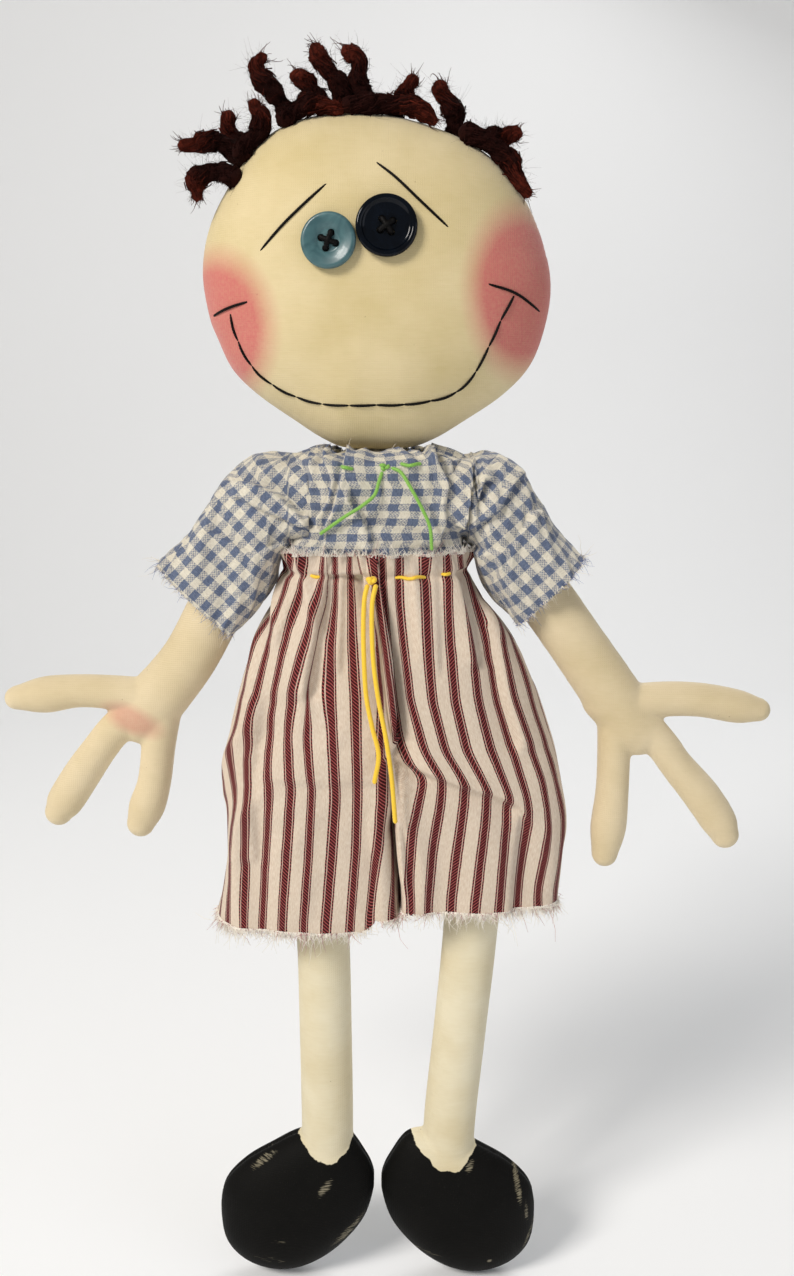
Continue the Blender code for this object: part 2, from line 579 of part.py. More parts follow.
shirt_rows = []
for share, depth_share in SHIRT_DEPTH_SHARES:
    height = SHIRT_TAIL + share * (SHIRT_SHOULDER - SHIRT_TAIL)
    fold = FOLD_DEPTH * math.sin(math.pi * share)
    deep = SHIRT_DEPTH / 2 * depth_share
    x, y = ring_of(SHIRT_HALF_WIDTH, deep, SHIRT_BOX_SHARE, around_shirt, fold, body_folds, share)
    shirt_rows.append(np.stack([x, y, np.full_like(x, height)], axis=1))
shoulder_depth = SHIRT_DEPTH * SHIRT_DEPTH_SHARES[-1][1]
for share in (0.33, 0.67, 1.0):
    wide = SHIRT_HALF_WIDTH + share * (NECK_OPENING_WIDTH / 2 - SHIRT_HALF_WIDTH)
    deep = (shoulder_depth + share * (NECK_OPENING_DEPTH - shoulder_depth)) / 2
    height = SHIRT_SHOULDER + (TORSO_TOP - SHIRT_SHOULDER) * math.sin(share * math.pi / 2)
    x, y = ring_of(wide, deep, SHIRT_BOX_SHARE, around_shirt, FOLD_DEPTH * share, neck_folds)
    shirt_rows.append(np.stack([x, y, np.full_like(x, height)], axis=1))


def clear_of_armholes(place):
    """Whether a cell of the shirt stays, which those inside an armhole don't."""
    inside = math.hypot(place[1], place[2] - SHOULDER_HEIGHT) < ARMHOLE_RADIUS
    return not (inside and abs(place[0]) > SHIRT_HALF_WIDTH / 2)


sheet("shirt_body", shirt_rows, "torso", GINGHAM, clear_of_armholes)

SLEEVE_TOP_HEIGHT = 0.3585
SLEEVE_REACHES = {"left": 0.0470, "right": 0.0520}
SLEEVE_DROPS = {"left": 0.0640, "right": 0.0680}
SLEEVE_ROOT_DEPTH = 0.036
SLEEVE_HEM_DEPTH = 0.030
SLEEVE_FOLD_DEPTH = 0.0014
# The sleeve's upper and lower edges, as shares of its reach outwards and its drop.
SLEEVE_UPPER_SHARES = [(0, 0), (0.24, 0), (0.46, 0.10), (0.62, 0.27), (0.79, 0.47), (1.0, 0.63)]
SLEEVE_LOWER_SHARES = [(0, 0.49), (0.09, 0.57), (0.16, 0.74), (0.29, 0.89), (0.46, 1.03)]
sleeve_rings, around_sleeve, sleeve_folds = 9, 24, 5
for side, sign in (("left", 1), ("right", -1)):
    size = np.array([SLEEVE_REACHES[side], -SLEEVE_DROPS[side]])
    start = np.array([SHIRT_HALF_WIDTH + 2 * SEAT_GAP, SLEEVE_TOP_HEIGHT])
    upper = start + size * even(smooth(SLEEVE_UPPER_SHARES, 60), sleeve_rings)
    lower = start + size * even(smooth(SLEEVE_LOWER_SHARES, 60), sleeve_rings)
    sleeve_rows = []
    for share, top, bottom in zip(np.linspace(0, 1, sleeve_rings), upper, lower):
        deep = (SLEEVE_ROOT_DEPTH + share * (SLEEVE_HEM_DEPTH - SLEEVE_ROOT_DEPTH)) / 2
        up, y = ring_of(1, deep, SHIRT_BOX_SHARE, around_sleeve, SLEEVE_FOLD_DEPTH * share,
                        sleeve_folds, 2 * share)
        place = (top + bottom) / 2 + up[:, None] * (top - bottom) / 2
        sleeve_rows.append(np.stack([sign * place[:, 0], y, place[:, 1]], axis=1))
    sheet("sleeve_" + side, sleeve_rows, "arm_" + side, GINGHAM)

# The trousers: a left and a right half of striped ticking, sewn to each other down the
# middle as far as the crotch and gathered at the waist. Every row gives how far down from the
# waist to the cuff it is, the outer edge from the waist's to the widest, the inner edge from the
# middle as a share of the widest, and the depth from the waist's to the deepest.
SEAM_HALF_GAP = 0.0003
TROUSER_ROW_SHARES = {
    "left": [
        (-0.062, 0.024, 0, 0.196), (-0.031, 0.005, 0, 0.071), (0, 0, 0, 0),
        (0.0515, 0.103, 0, 0.286), (0.120, 0.282, 0, 0.643), (0.2095, 0.522, 0, 0.821),
        (0.313, 0.713, 0, 1), (0.4227, 0.844, 0, 1), (0.5055, 0.928, 0.033, 0.821),
        (0.6155, 0.988, 0.092, 0.643), (0.725, 1, 0.138, 0.286), (0.8345, 0.964, 0.158, -0.071),
        (0.942, 0.927, 0.180, -0.349),
    ],
    "right": [
        (-0.062, 0.031, 0, 0.196), (-0.031, 0.005, 0, 0.071), (0, 0, 0, 0),
        (0.0515, 0.103, 0, 0.286), (0.120, 0.234, 0, 0.643), (0.2095, 0.378, 0, 0.821),
        (0.313, 0.498, 0, 1), (0.4227, 0.593, 0, 1), (0.5055, 0.641, 0.013, 0.821),
        (0.6155, 0.694, -0.053, 0.643), (0.725, 0.713, -0.112, 0.286), (0.8345, 0.725, -0.066, -0.071),
        (1, 0.798, 0.011, -0.376),
    ],
}
CROTCH_SEAM_SHARE = 0.4227
# The gathers open out over this share of the drop, and stand this far out at most.
GATHER_SHARE = 0.246
TROUSER_FOLD_DEPTH = 0.0030
# How square the trousers are across and from front to back, as powers of the turn round them.
ACROSS_POWER, DEPTH_POWER = 0.8, 0.7
# The inner side of a leg is round from this share of the way below the crotch.
ROUND_LEG_SHARE = 0.47
trouser_folds, fold_lean, round_front_and_back, down_inside = 7, 9, 26, 8
waist_half_width = SHIRT_HALF_WIDTH + 3 * SEAT_GAP
waist_depth = SHIRT_DEPTH + 8 * SEAT_GAP
crotch_seam_height = WAIST_HEIGHT - CROTCH_SEAM_SHARE * (WAIST_HEIGHT - CUFF_HEIGHT)


def outside_the_fork(place):
    """Whether a cell of the trousers stays, which those of the wall down the middle don't."""
    return place[2] < crotch_seam_height or abs(place[0]) > 2 * SEAM_HALF_GAP


trouser_rows_of = {}
for side, sign in (("left", 1), ("right", -1)):
    trouser_rows = []
    for down, outer_share, inner_share, depth_share in TROUSER_ROW_SHARES[side]:
        height = WAIST_HEIGHT - down * (WAIST_HEIGHT - CUFF_HEIGHT)
        outer = waist_half_width + outer_share * (TROUSER_HALF_WIDTH - waist_half_width)
        depth = waist_depth + depth_share * (TROUSER_DEPTH - waist_depth)
        below = max(0, (down - CROTCH_SEAM_SHARE) / (1 - CROTCH_SEAM_SHARE))
        bulge = min(1, below / ROUND_LEG_SHARE) * LEG_WIDTH / 2
        edge = inner_share * TROUSER_HALF_WIDTH + SEAM_HALF_GAP + bulge
        turn = np.linspace(0, math.pi, round_front_and_back)
        gather = np.clip((down - TROUSER_ROW_SHARES[side][0][0]) / GATHER_SHARE, 0, 1)
        fold = TROUSER_FOLD_DEPTH * gather * (1 + np.cos(trouser_folds * turn + fold_lean * below)) / 2
        x = edge + (outer - edge) * np.sin(turn) ** ACROSS_POWER
        y = -np.sign(np.cos(turn)) * np.abs(np.cos(turn)) ** DEPTH_POWER
        y = y * (depth / 2 + fold * np.abs(np.cos(turn)))
        inside = np.linspace(math.pi, 0, down_inside + 2)[1:-1]
        x = np.append(x, edge - bulge * np.sin(inside))
        y = np.append(y, -np.cos(inside) * depth / 2)
        trouser_rows.append(np.stack([sign * x, y, np.full_like(x, height)], axis=1))
    trouser_rows_of[side] = trouser_rows
    sheet("trouser_" + side, trouser_rows, "leg_" + side, TICKING, outside_the_fork)


def front_of(rows, x, height):
    """The depth of a cloth's front at a place, read between its rows of points."""
    heights, depths = [], []
    for row in rows:
        front = row[row[:, 1] < 0]
        front = front[np.argsort(front[:, 0])]
        heights.append(row[0, 2])
        depths.append(np.interp(x, front[:, 0], front[:, 1]))
    order = np.argsort(heights)
    return np.interp(height, np.array(heights)[order], np.array(depths)[order])


# The stitches that show: green running stitches at the neck and yellow ones at the waist.
# Each is two places as shares of the shirt's half width, a height and the cloth it lies on.
STITCH_DIAMETER = 0.0011
NECK_STITCH_HEIGHT = 0.3550
STITCH_SHARES = {
    "neck_stitch_right": (-0.390, -0.288, NECK_STITCH_HEIGHT, "shirt"),
    "neck_stitch_left": (0.300, 0.480, NECK_STITCH_HEIGHT + STITCH_DIAMETER, "shirt"),
    "waist_stitch_right": (-0.751, -0.676, WAIST_HEIGHT, "right"),
    "waist_stitch_middle": (0.225, 0.541, WAIST_HEIGHT, "left"),
    "waist_stitch_left": (0.766, 0.835, WAIST_HEIGHT + STITCH_DIAMETER, "left"),
}
points_per_stitch = 6
CLOTH_ROWS = {"shirt": shirt_rows, "left": trouser_rows_of["left"], "right": trouser_rows_of["right"]}
for stitch_name, (start_share, end_share, height, cloth) in STITCH_SHARES.items():
    thread = GREEN_FLOSS if cloth == "shirt" else YELLOW_FLOSS
    across = np.linspace(start_share, end_share, points_per_stitch) * SHIRT_HALF_WIDTH
    lift = STITCH_DIAMETER / 2 + 2 * SEAT_GAP
    depths = [front_of(CLOTH_ROWS[cloth], x, height) - lift for x in across]
    places = np.stack([across, depths, np.full_like(across, height)], axis=1)
    strand(stitch_name, places, STITCH_DIAMETER, "torso", thread)

# The ties: at the neck and at the waist the gathering thread ends in a knot and two tails,
# which hang down the front. The tails' places are chosen by hand.
KNOT_WIDTH = 0.0046
KNOT_HEIGHT = 0.0036
NECK_KNOT_X = 0.0030
NECK_KNOT_HEIGHT = 0.3552
WAIST_KNOT_X = -0.0020
WAIST_KNOT_HEIGHT = 0.3130
TIE_ROUTES = {
    "neck_tie_right": (TIE_DIAMETER, GREEN_FLOSS, [
        (0.0020, -0.0201, 0.3529), (0.0009, -0.0224, 0.3498), (-0.0008, -0.0244, 0.3450),
        (-0.0058, -0.0249, 0.3408), (-0.0122, -0.0249, 0.3368), (-0.0208, -0.0249, 0.3308),
    ]),
    "neck_tie_left": (TIE_DIAMETER, GREEN_FLOSS, [
        (0.0058, -0.0197, 0.3549), (0.0092, -0.0216, 0.3532), (0.0130, -0.0241, 0.3474),
        (0.0170, -0.0249, 0.3402), (0.0200, -0.0250, 0.3332), (0.0208, -0.0252, 0.3250),
    ]),
    "waist_tie_right": (WAIST_TIE_DIAMETER, YELLOW_FLOSS, [
        (-0.0036, -0.0262, 0.3108), (-0.0046, -0.0280, 0.3060), (-0.0050, -0.0296, 0.2960),
        (-0.0048, -0.0304, 0.2830), (-0.0040, -0.0306, 0.2690), (-0.0018, -0.0306, 0.2570),
        (0.0006, -0.0304, 0.2460), (-0.0010, -0.0300, 0.2350),
    ]),
    "waist_tie_left": (WAIST_TIE_DIAMETER, YELLOW_FLOSS, [
        (-0.0004, -0.0262, 0.3108), (-0.0016, -0.0280, 0.3050), (-0.0018, -0.0296, 0.2950),
        (-0.0012, -0.0304, 0.2820), (0.0006, -0.0308, 0.2680), (0.0034, -0.0310, 0.2530),
        (0.0056, -0.0308, 0.2370), (0.0070, -0.0300, 0.2190),
    ]),
}
# The tails' points stand this many diameters apart.
POINT_SPACING_SHARE = 2.8
for knot_name, knot_x, knot_height, cloth, thread in (
    ("neck_knot", NECK_KNOT_X, NECK_KNOT_HEIGHT, "shirt", GREEN_FLOSS),
    ("waist_knot", WAIST_KNOT_X, WAIST_KNOT_HEIGHT, "right", YELLOW_FLOSS),
):
    knot_form = bmesh.new()
    bmesh.ops.create_uvsphere(knot_form, u_segments=10, v_segments=8, radius=1)
    knot_depth = front_of(CLOTH_ROWS[cloth], knot_x, knot_height) - KNOT_HEIGHT / 2 - 2 * SEAT_GAP
    for vert in knot_form.verts:
        vert.co.x = vert.co.x * KNOT_WIDTH / 2 + knot_x
        vert.co.y = vert.co.y * KNOT_HEIGHT / 2 + knot_depth
        vert.co.z = vert.co.z * KNOT_HEIGHT / 2 + knot_height
    add_mesh(knot_name, knot_form, "torso", thread)
for tie_name, (diameter, thread, route) in TIE_ROUTES.items():
    line = smooth(route, 80)
    length = np.linalg.norm(np.diff(line, axis=0), axis=1).sum()
    line = even(line, round(length / (POINT_SPACING_SHARE * diameter)) + 1)
    strand(tie_name, line, diameter, "torso", thread, sides=2)
    print(tie_name, "is", round(length * 1000, 1), "mm long")

print("built", len([o for o in doll.objects if o.type != "EMPTY"]), "pieces")
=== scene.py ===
"""The looks of a stuffed rag doll in a gingham shirt and striped trousers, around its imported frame.

Lengths are in metres. Places are written from the soles of the feet and from the doll's middle
plane, and every mesh is then moved so that the point where the doll hangs is the origin. The face
looks along -Y, and left and right are the doll's own, so its left side is at +X.
"""

import math

import bpy
import numpy as np
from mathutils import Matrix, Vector


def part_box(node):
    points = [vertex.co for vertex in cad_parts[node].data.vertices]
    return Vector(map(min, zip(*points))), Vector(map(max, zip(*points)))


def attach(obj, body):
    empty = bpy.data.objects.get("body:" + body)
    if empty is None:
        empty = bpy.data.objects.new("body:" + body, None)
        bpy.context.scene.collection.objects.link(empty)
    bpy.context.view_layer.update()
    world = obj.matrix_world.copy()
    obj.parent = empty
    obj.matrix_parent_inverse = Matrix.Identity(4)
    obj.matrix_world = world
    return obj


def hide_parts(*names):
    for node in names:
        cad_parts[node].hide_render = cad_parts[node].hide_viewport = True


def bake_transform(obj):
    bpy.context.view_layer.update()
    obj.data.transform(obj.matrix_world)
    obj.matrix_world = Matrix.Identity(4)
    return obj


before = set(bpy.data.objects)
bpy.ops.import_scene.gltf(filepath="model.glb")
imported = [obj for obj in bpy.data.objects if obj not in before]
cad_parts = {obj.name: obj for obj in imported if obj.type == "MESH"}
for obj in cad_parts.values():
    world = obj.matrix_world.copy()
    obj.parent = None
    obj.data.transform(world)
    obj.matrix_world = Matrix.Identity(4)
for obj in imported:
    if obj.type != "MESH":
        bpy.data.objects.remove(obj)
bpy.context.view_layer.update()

# The camera stands in front of the doll's chest, level with the chin, and looks down a little.
CAMERA_PLACE = (0.0077, -0.514, 0.0334)
CAMERA_TILT_DEGREES = 11.2
camera_data = bpy.data.cameras.new("camera")
camera_data.sensor_width = 36.0
camera_data.lens = 35.27
camera = bpy.data.objects.new("camera", camera_data)
camera.location = CAMERA_PLACE
camera.rotation_euler = (math.radians(90 - CAMERA_TILT_DEGREES), 0, 0)
bpy.context.scene.collection.objects.link(camera)
bpy.context.scene.camera = camera


# The ties: six-strand cotton embroidery floss, twisted, which gathers the neck and the waist and
# ends in a knot with two tails. The tails hang down the front of the shirt and the trousers.
HANG_POINT = np.array([0, 0.021, 0.350])
NECK_TIE_DIAMETER = 0.0014
WAIST_TIE_DIAMETER = 0.0019
FLOSS_PLIES = 3
FLOSS_LAY = 0.0032  # how far one ply runs along the thread for a whole turn
TIE_ROUTES = {
    "neck_tie_right": [
        (0.0020, -0.0201, 0.3529), (0.0009, -0.0224, 0.3498), (-0.0008, -0.0244, 0.3450),
        (-0.0058, -0.0249, 0.3408), (-0.0122, -0.0249, 0.3368), (-0.0208, -0.0249, 0.3308),
    ],
    "neck_tie_left": [
        (0.0058, -0.0197, 0.3549), (0.0092, -0.0216, 0.3532), (0.0130, -0.0241, 0.3474),
        (0.0170, -0.0249, 0.3402), (0.0200, -0.0250, 0.3332), (0.0208, -0.0252, 0.3250),
    ],
    "waist_tie_right": [
        (-0.0036, -0.0262, 0.3108), (-0.0046, -0.0280, 0.3060), (-0.0050, -0.0296, 0.2960),
        (-0.0048, -0.0304, 0.2830), (-0.0040, -0.0306, 0.2690), (-0.0018, -0.0306, 0.2570),
        (0.0006, -0.0304, 0.2460), (-0.0010, -0.0300, 0.2350),
    ],
    "waist_tie_left": [
        (-0.0004, -0.0262, 0.3108), (-0.0016, -0.0280, 0.3050), (-0.0018, -0.0296, 0.2950),
        (-0.0012, -0.0304, 0.2820), (0.0006, -0.0308, 0.2680), (0.0034, -0.0310, 0.2530),
        (0.0056, -0.0308, 0.2370), (0.0070, -0.0300, 0.2190),
    ],
}


def linear(hex_colour):
    """An sRGB hex colour as linear red, green, blue and 1."""
    parts = np.array([int(hex_colour[i:i + 2], 16) for i in (1, 3, 5)]) / 255
    return (*np.where(parts <= 0.04045, parts / 12.92, ((parts + 0.055) / 1.055) ** 2.4), 1)


def node(tree, kind, links=None, **settings):
    """Adds one node: settings are its properties, and links are its inputs, each a value or a socket."""
    made = tree.nodes.new(kind)
    for name, value in settings.items():
        setattr(made, name, value)
    for name, value in (links or {}).items():
        if isinstance(value, bpy.types.NodeSocket):
            tree.links.new(value, made.inputs[name])
        else:
            made.inputs[name].default_value = value
    return made


def new_material(name, **sockets):
    """An empty Principled material, with constants set on the shader's own sockets."""
    material = bpy.data.materials.new(name)
    material.use_nodes = True
    shader = material.node_tree.nodes["Principled BSDF"]
    for socket, value in sockets.items():
        shader.inputs[socket.replace("_", " ")].default_value = value
    return material, material.node_tree, shader


def blend_colours(tree, factor, first, second):
    """Mixes two colours, each a socket or a linear colour."""
    return node(tree, "ShaderNodeMix", {"Factor": factor, 6: first, 7: second}, data_type="RGBA").outputs[2]


def object_place(tree):
    """The place on the piece that is being coloured."""
    return node(tree, "ShaderNodeTexCoord").outputs["Object"]


def noise(tree, place, scale, detail=2.0, stretch=None, lean_degrees=0):
    """A noise at a place, stretched along its axes and leant in the doll's middle plane if asked for."""
    if stretch:
        place = node(tree, "ShaderNodeMapping", {
            "Vector": place, "Scale": stretch, "Rotation": (0, math.radians(lean_degrees), 0)}).outputs[0]
    settings = {"Vector": place, "Scale": scale, "Detail": detail}
    return node(tree, "ShaderNodeTexNoise", settings).outputs["Fac"]


def relief(tree, shader, height, strength, distance):
    """Raises a material's surface in the light by a height between 0 and about 1."""
    bump = node(tree, "ShaderNodeBump", {"Height": height, "Strength": strength, "Distance": distance})
    tree.links.new(bump.outputs[0], shader.inputs["Normal"])


def along_line(line):
    """The distance of each place on a line from the line's start."""
    return np.append(0, np.cumsum(np.linalg.norm(np.diff(line, axis=0), axis=1)))


def smooth_line(points, count):
    """A Catmull-Rom curve through the points, then read again at count even distances."""
    points = np.array(points, float)
    held = np.vstack([2 * points[0] - points[1], points, 2 * points[-1] - points[-2]])
    t = np.linspace(0, len(points) - 1, 12 * len(points) + 40)
    i = np.minimum(t.astype(int), len(points) - 2)
    f = (t - i)[:, None]
    a, b, c, d = (held[i + k] for k in range(4))
    bend = 2 * a - 5 * b + 4 * c - d
    line = (2 * b + (c - a) * f + bend * f**2 + (3 * b - a - 3 * c + d) * f**3) / 2
    along = along_line(line)
    at = np.linspace(0, along[-1], count)
    return np.stack([np.interp(at, along, line[:, k]) for k in range(line.shape[1])], axis=1)


def surface(name, points, material, wrap=False, ends=False, uv=None, keep=None):
    """Joins a grid of places, rows by columns, into four-sided faces. With wrap the last column meets
    the first, and with ends each end row closes on its middle. keep says which cells get a face."""
    rows, cols = points.shape[:2]
    spans = cols if wrap else cols - 1
    r, c = (a.ravel() for a in np.meshgrid(np.arange(rows - 1), np.arange(spans), indexing="ij"))
    if keep is not None:
        r, c = r[keep.ravel()], c[keep.ravel()]
    corner_rows = np.stack([r, r, r + 1, r + 1], axis=1)
    corner_cols = np.stack([c, c + 1, c + 1, c], axis=1)
    faces = (corner_rows * cols + corner_cols % cols).tolist()
    places = points.reshape(-1, 3)
    if ends:
        ring = np.arange(cols)
        after = (ring + 1) % cols
        start, end = rows * cols, rows * cols + 1
        places = np.vstack([places, points[0].mean(0), points[-1].mean(0)])
        faces += np.stack([np.full(cols, start), after, ring], axis=1).tolist()
        last = (rows - 1) * cols
        faces += np.stack([np.full(cols, end), last + ring, last + after], axis=1).tolist()
    mesh = bpy.data.meshes.new(name)
    mesh.from_pydata((places - HANG_POINT).tolist(), [], faces)
    if uv is not None:
        corners = uv[corner_rows, corner_cols].reshape(-1, 2)
        if ends:
            middle = uv[:, :-1] if wrap else uv
            fans = [middle[0].mean(0), middle[-1].mean(0)]
            corners = np.vstack([corners, np.repeat(fans, 3 * cols, axis=0)])
        layer = mesh.uv_layers.new(name="cloth")
        layer.data.foreach_set("uv", corners.astype(np.float32).ravel())
    mesh.validate()
    facing = np.zeros(3 * len(mesh.polygons))
    centres = np.zeros(3 * len(mesh.polygons))
    mesh.polygons.foreach_get("normal", facing)
    mesh.polygons.foreach_get("center", centres)
    centres = centres.reshape(-1, 3)
    if (facing.reshape(-1, 3) * (centres - centres.mean(0))).sum() < 0:
        mesh.flip_normals()
    mesh.shade_smooth()
    mesh.materials.append(material)
    made = bpy.data.objects.new(name, mesh)
    bpy.context.scene.collection.objects.link(made)
    return made


def unit(vectors):
    """The same directions, each of length 1."""
    return vectors / (np.linalg.norm(vectors, axis=-1)[..., None] + 1e-12)


def tube(line, radius, around, plies=0, lay=1.0, groove=0.0):
    """A round tube along a line: rows of places at r (1 + g/2 - g |sin(p/2 (a - 2 pi s / lay))|), where r
    is the radius, g the groove, p the plies, a the angle and s the distance along the line. Its two
    ends draw in to a small round cap."""
    ahead = unit(np.gradient(line, axis=0))
    side = unit(np.cross(ahead, (0.0, 1.0, 0.02)))
    up = np.cross(side, ahead)
    turn = np.arange(around) / around * 2 * math.pi
    ply = np.abs(np.sin(plies / 2 * (turn[None, :] - 2 * math.pi * along_line(line)[:, None] / lay)))
    reach = np.broadcast_to(radius, len(line))[:, None] * (1 + groove / 2 - groove * ply)
    spokes = np.cos(turn)[None, :, None] * side[:, None] + np.sin(turn)[None, :, None] * up[:, None]
    body = line[:, None] + spokes * reach[:, :, None]
    caps = []
    for end, sign in ((0, -1), (-1, 1)):
        for lean in (0.35, 0.8):
            out = sign * ahead[end] * reach[end].mean() * math.sin(lean * math.pi / 2)
            caps.append(line[end] + spokes[end] * (reach[end] * math.cos(lean * math.pi / 2))[:, None] + out)
    return np.concatenate([caps[1::-1], body, caps[2:]])


def floss(name, colour, shade, sheen=0.35, shine=0.5):
    """Mercerised cotton floss: its plies catch the light along their length, so it has a soft sheen, and
    its fine grain is a mix of its colour and a darker shade."""
    material, tree, shader = new_material(name, Roughness=0.55, Sheen_Weight=sheen, Specular_IOR_Level=shine)
    grain = noise(tree, object_place(tree), 2600.0, 3.0)
    tree.links.new(blend_colours(tree, grain, linear(shade), linear(colour)), shader.inputs["Base Color"])
    relief(tree, shader, grain, 0.5, 0.0002)
    return material


green_floss = floss("green_cotton_floss", "#93c853", "#5f9a33")
yellow_floss = floss("yellow_cotton_floss", "#ffdc38", "#ecb71a")


def bend_at_hip(made):
    """Bakes the piece's transform into its mesh, leaving it attached to no body."""
    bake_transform(made)


def tie(name, diameter, material):
    """A tail of floss along its route, of its real length and diameter. The waist's two tails hang over
    the left trouser leg and are attached to no body."""
    line = smooth_line(TIE_ROUTES[name], 160)
    made = surface(name + "_floss", tube(line, diameter / 2, 14, FLOSS_PLIES, FLOSS_LAY, 0.24), material,
                   wrap=True, ends=True)
    if name.startswith("waist"):
        bend_at_hip(made)
    else:
        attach(made, "torso")
    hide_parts(name)


for tie_name in ("neck_tie_right", "neck_tie_left"):
    tie(tie_name, NECK_TIE_DIAMETER, green_floss)
for tie_name in ("waist_tie_right", "waist_tie_left"):
    tie(tie_name, WAIST_TIE_DIAMETER, yellow_floss)


def knot(name, thread_diameter, material):
    """An overhand knot pulled tight: a thread along the closed trefoil x = sin t + 2 sin 2t,
    z = cos t - 2 cos 2t, y = -sin 3t, drawn to fill the space of its solid."""
    low, high = (np.array(corner) + HANG_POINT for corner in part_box(name))
    t = np.linspace(0, 2 * math.pi, 97)[:-1]
    loop = np.stack([np.sin(t) + 2 * np.sin(2 * t), -np.sin(3 * t), np.cos(t) - 2 * np.cos(2 * t)], axis=1)
    loop = loop / np.abs(loop).max(0) * ((high - low) / 2 - thread_diameter / 2) + (low + high) / 2
    ahead = unit(np.roll(loop, -1, 0) - np.roll(loop, 1, 0))
    side = unit(np.cross(ahead, loop - (low + high) / 2))
    up = np.cross(side, ahead)
    turn = (np.arange(12) / 12 * 2 * math.pi)[None, :, None]
    ring = loop[:, None] + (np.cos(turn) * side[:, None] + np.sin(turn) * up[:, None]) * thread_diameter / 2
    made = surface(name + "_floss", np.concatenate([ring, ring[:1]]), material, wrap=True)
    weld = made.modifiers.new("close the loop", "WELD")
    weld.merge_threshold = 0.00001
    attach(made, "torso")
    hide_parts(name)


knot("neck_knot", NECK_TIE_DIAMETER, green_floss)
knot("waist_knot", WAIST_TIE_DIAMETER, yellow_floss)


# The head: two round pieces of unbleached muslin, sewn round the edge, turned and stuffed hard. The
# cheeks are rubbed with powder blush, and the seam pulls small puckers into the edge.
HEAD_WIDTH, HEAD_HEIGHT, HEAD_THICKNESS = 0.132, 0.123, 0.064
CHIN_HEIGHT = 0.361
HEAD_MIDDLE = CHIN_HEIGHT + HEAD_HEIGHT / 2
FULLNESS_POWER, SEAM_POWER = 2.4, 0.55
SEAM_PULL, SEAM_WIDTH = 0.0006, 0.0011  # how far a sewn edge is drawn in, and how wide the dip is
HEAD_RIM_SHARES = [
    (1.00, 0.04), (0.94, 0.29), (0.84, 0.51), (0.67, 0.73), (0.43, 0.88), (0.12, 0.98),
    (-0.18, 1.00), (-0.44, 0.96), (-0.66, 0.83), (-0.85, 0.56), (-0.96, 0.32), (-1.00, 0.07),
    (-0.97, -0.18), (-0.92, -0.33), (-0.84, -0.51), (-0.70, -0.66), (-0.50, -0.81),
    (-0.31, -0.94), (-0.16, -0.995), (0.16, -0.995), (0.33, -0.94), (0.52, -0.82),
    (0.74, -0.66), (0.90, -0.47), (0.985, -0.20),
]
# Each cheek's blush: its middle and its reach, as shares of the head's half width and half height.
CHEEK_SHARES = [(-0.93, -0.27, 0.38, 0.47), (0.83, -0.05, 0.34, 0.52)]


def rim_of(shares, half_width, half_height):
    """A closed outline about its middle, as rising angles and the rim's distance at each of them."""
    loop = np.array([*shares, *shares[:3]], float)
    line = smooth_line(loop, 16 * len(loop))[8:-8] * (half_width, half_height)
    angle = np.arctan2(line[:, 1], line[:, 0])
    order = np.argsort(angle)
    return angle[order], np.hypot(line[:, 0], line[:, 1])[order]


def rim_at(rim, angle):
    """The rim's distance from the middle at an angle."""
    return np.interp(angle, rim[0], rim[1], period=2 * math.pi)


def pad_depth(rim, half_thickness, x, z):
    """How far the face of a stuffed pad stands from its middle plane: T (1 - s^2.4)^0.55, where s is the
    place's distance from the middle as a share of the rim's."""
    share = np.hypot(x, z) / rim_at(rim, np.arctan2(z, x))
    return half_thickness * np.clip(1 - share**FULLNESS_POWER, 0, 1) ** SEAM_POWER


def pad(rim, half_thickness, middle, around, across, puckers, lump):
    """A stuffed pad as a grid of places: share s = sin(a) of the rim's distance and depth
    T (1 - s^2.4)^0.55 either way. Near the rim the depth ripples with the seam's puckers, the seam
    itself is drawn in, and lump times long low waves stands for uneven stuffing."""
    turn = np.arange(around)[None, :] / around * 2 * math.pi
    lean = np.linspace(0, math.pi, across + 2)[1:-1, None]
    share = np.sin(lean)
    depth = half_thickness * np.clip(1 - share**FULLNESS_POWER, 0, 1) ** SEAM_POWER
    ripple = 0.5 * np.sin(puckers * turn) + 0.35 * np.sin(puckers * 1.618 * turn + 1.3)
    depth = depth * (1 + 0.05 * ripple * share**14)
    reach = share * rim_at(rim, turn) - SEAM_PULL * np.exp(-((depth / SEAM_WIDTH) ** 2)) * (share > 0.9)
    waves = np.sin(3 * turn + 2 * lean) + np.sin(5 * turn - 3 * lean + 1) * 0.6
    depth = depth * (1 + lump * waves * share)
    return np.stack([
        middle[0] + reach * np.cos(turn),
        middle[1] - np.sign(np.cos(lean)) * depth,
        middle[2] + reach * np.sin(turn)], axis=2)


def mark(obj, name, values):
    """Keeps one number for each of the mesh's points, for its material to read."""
    layer = obj.data.attributes.new(name, "FLOAT", "POINT")
    held = np.zeros(len(obj.data.vertices), np.float32)
    held[:len(values)] = values
    layer.data.foreach_set("value", held)


def calc(tree, operation, *values):
    """One Math node on sockets or numbers."""
    return node(tree, "ShaderNodeMath", dict(enumerate(values)), operation=operation).outputs[0]


def rescale(tree, value, low, high, to_low=0.0, to_high=1.0):
    """Reads a value between low and high as one between two others, and holds it there."""
    return node(tree, "ShaderNodeMapRange", {"Value": value, "From Min": low, "From Max": high,
                                             "To Min": to_low, "To Max": to_high}).outputs[0]


def kept_number(tree, name):
    """The number that mark() kept on the mesh under this name."""
    return node(tree, "ShaderNodeAttribute", attribute_name=name).outputs["Fac"]


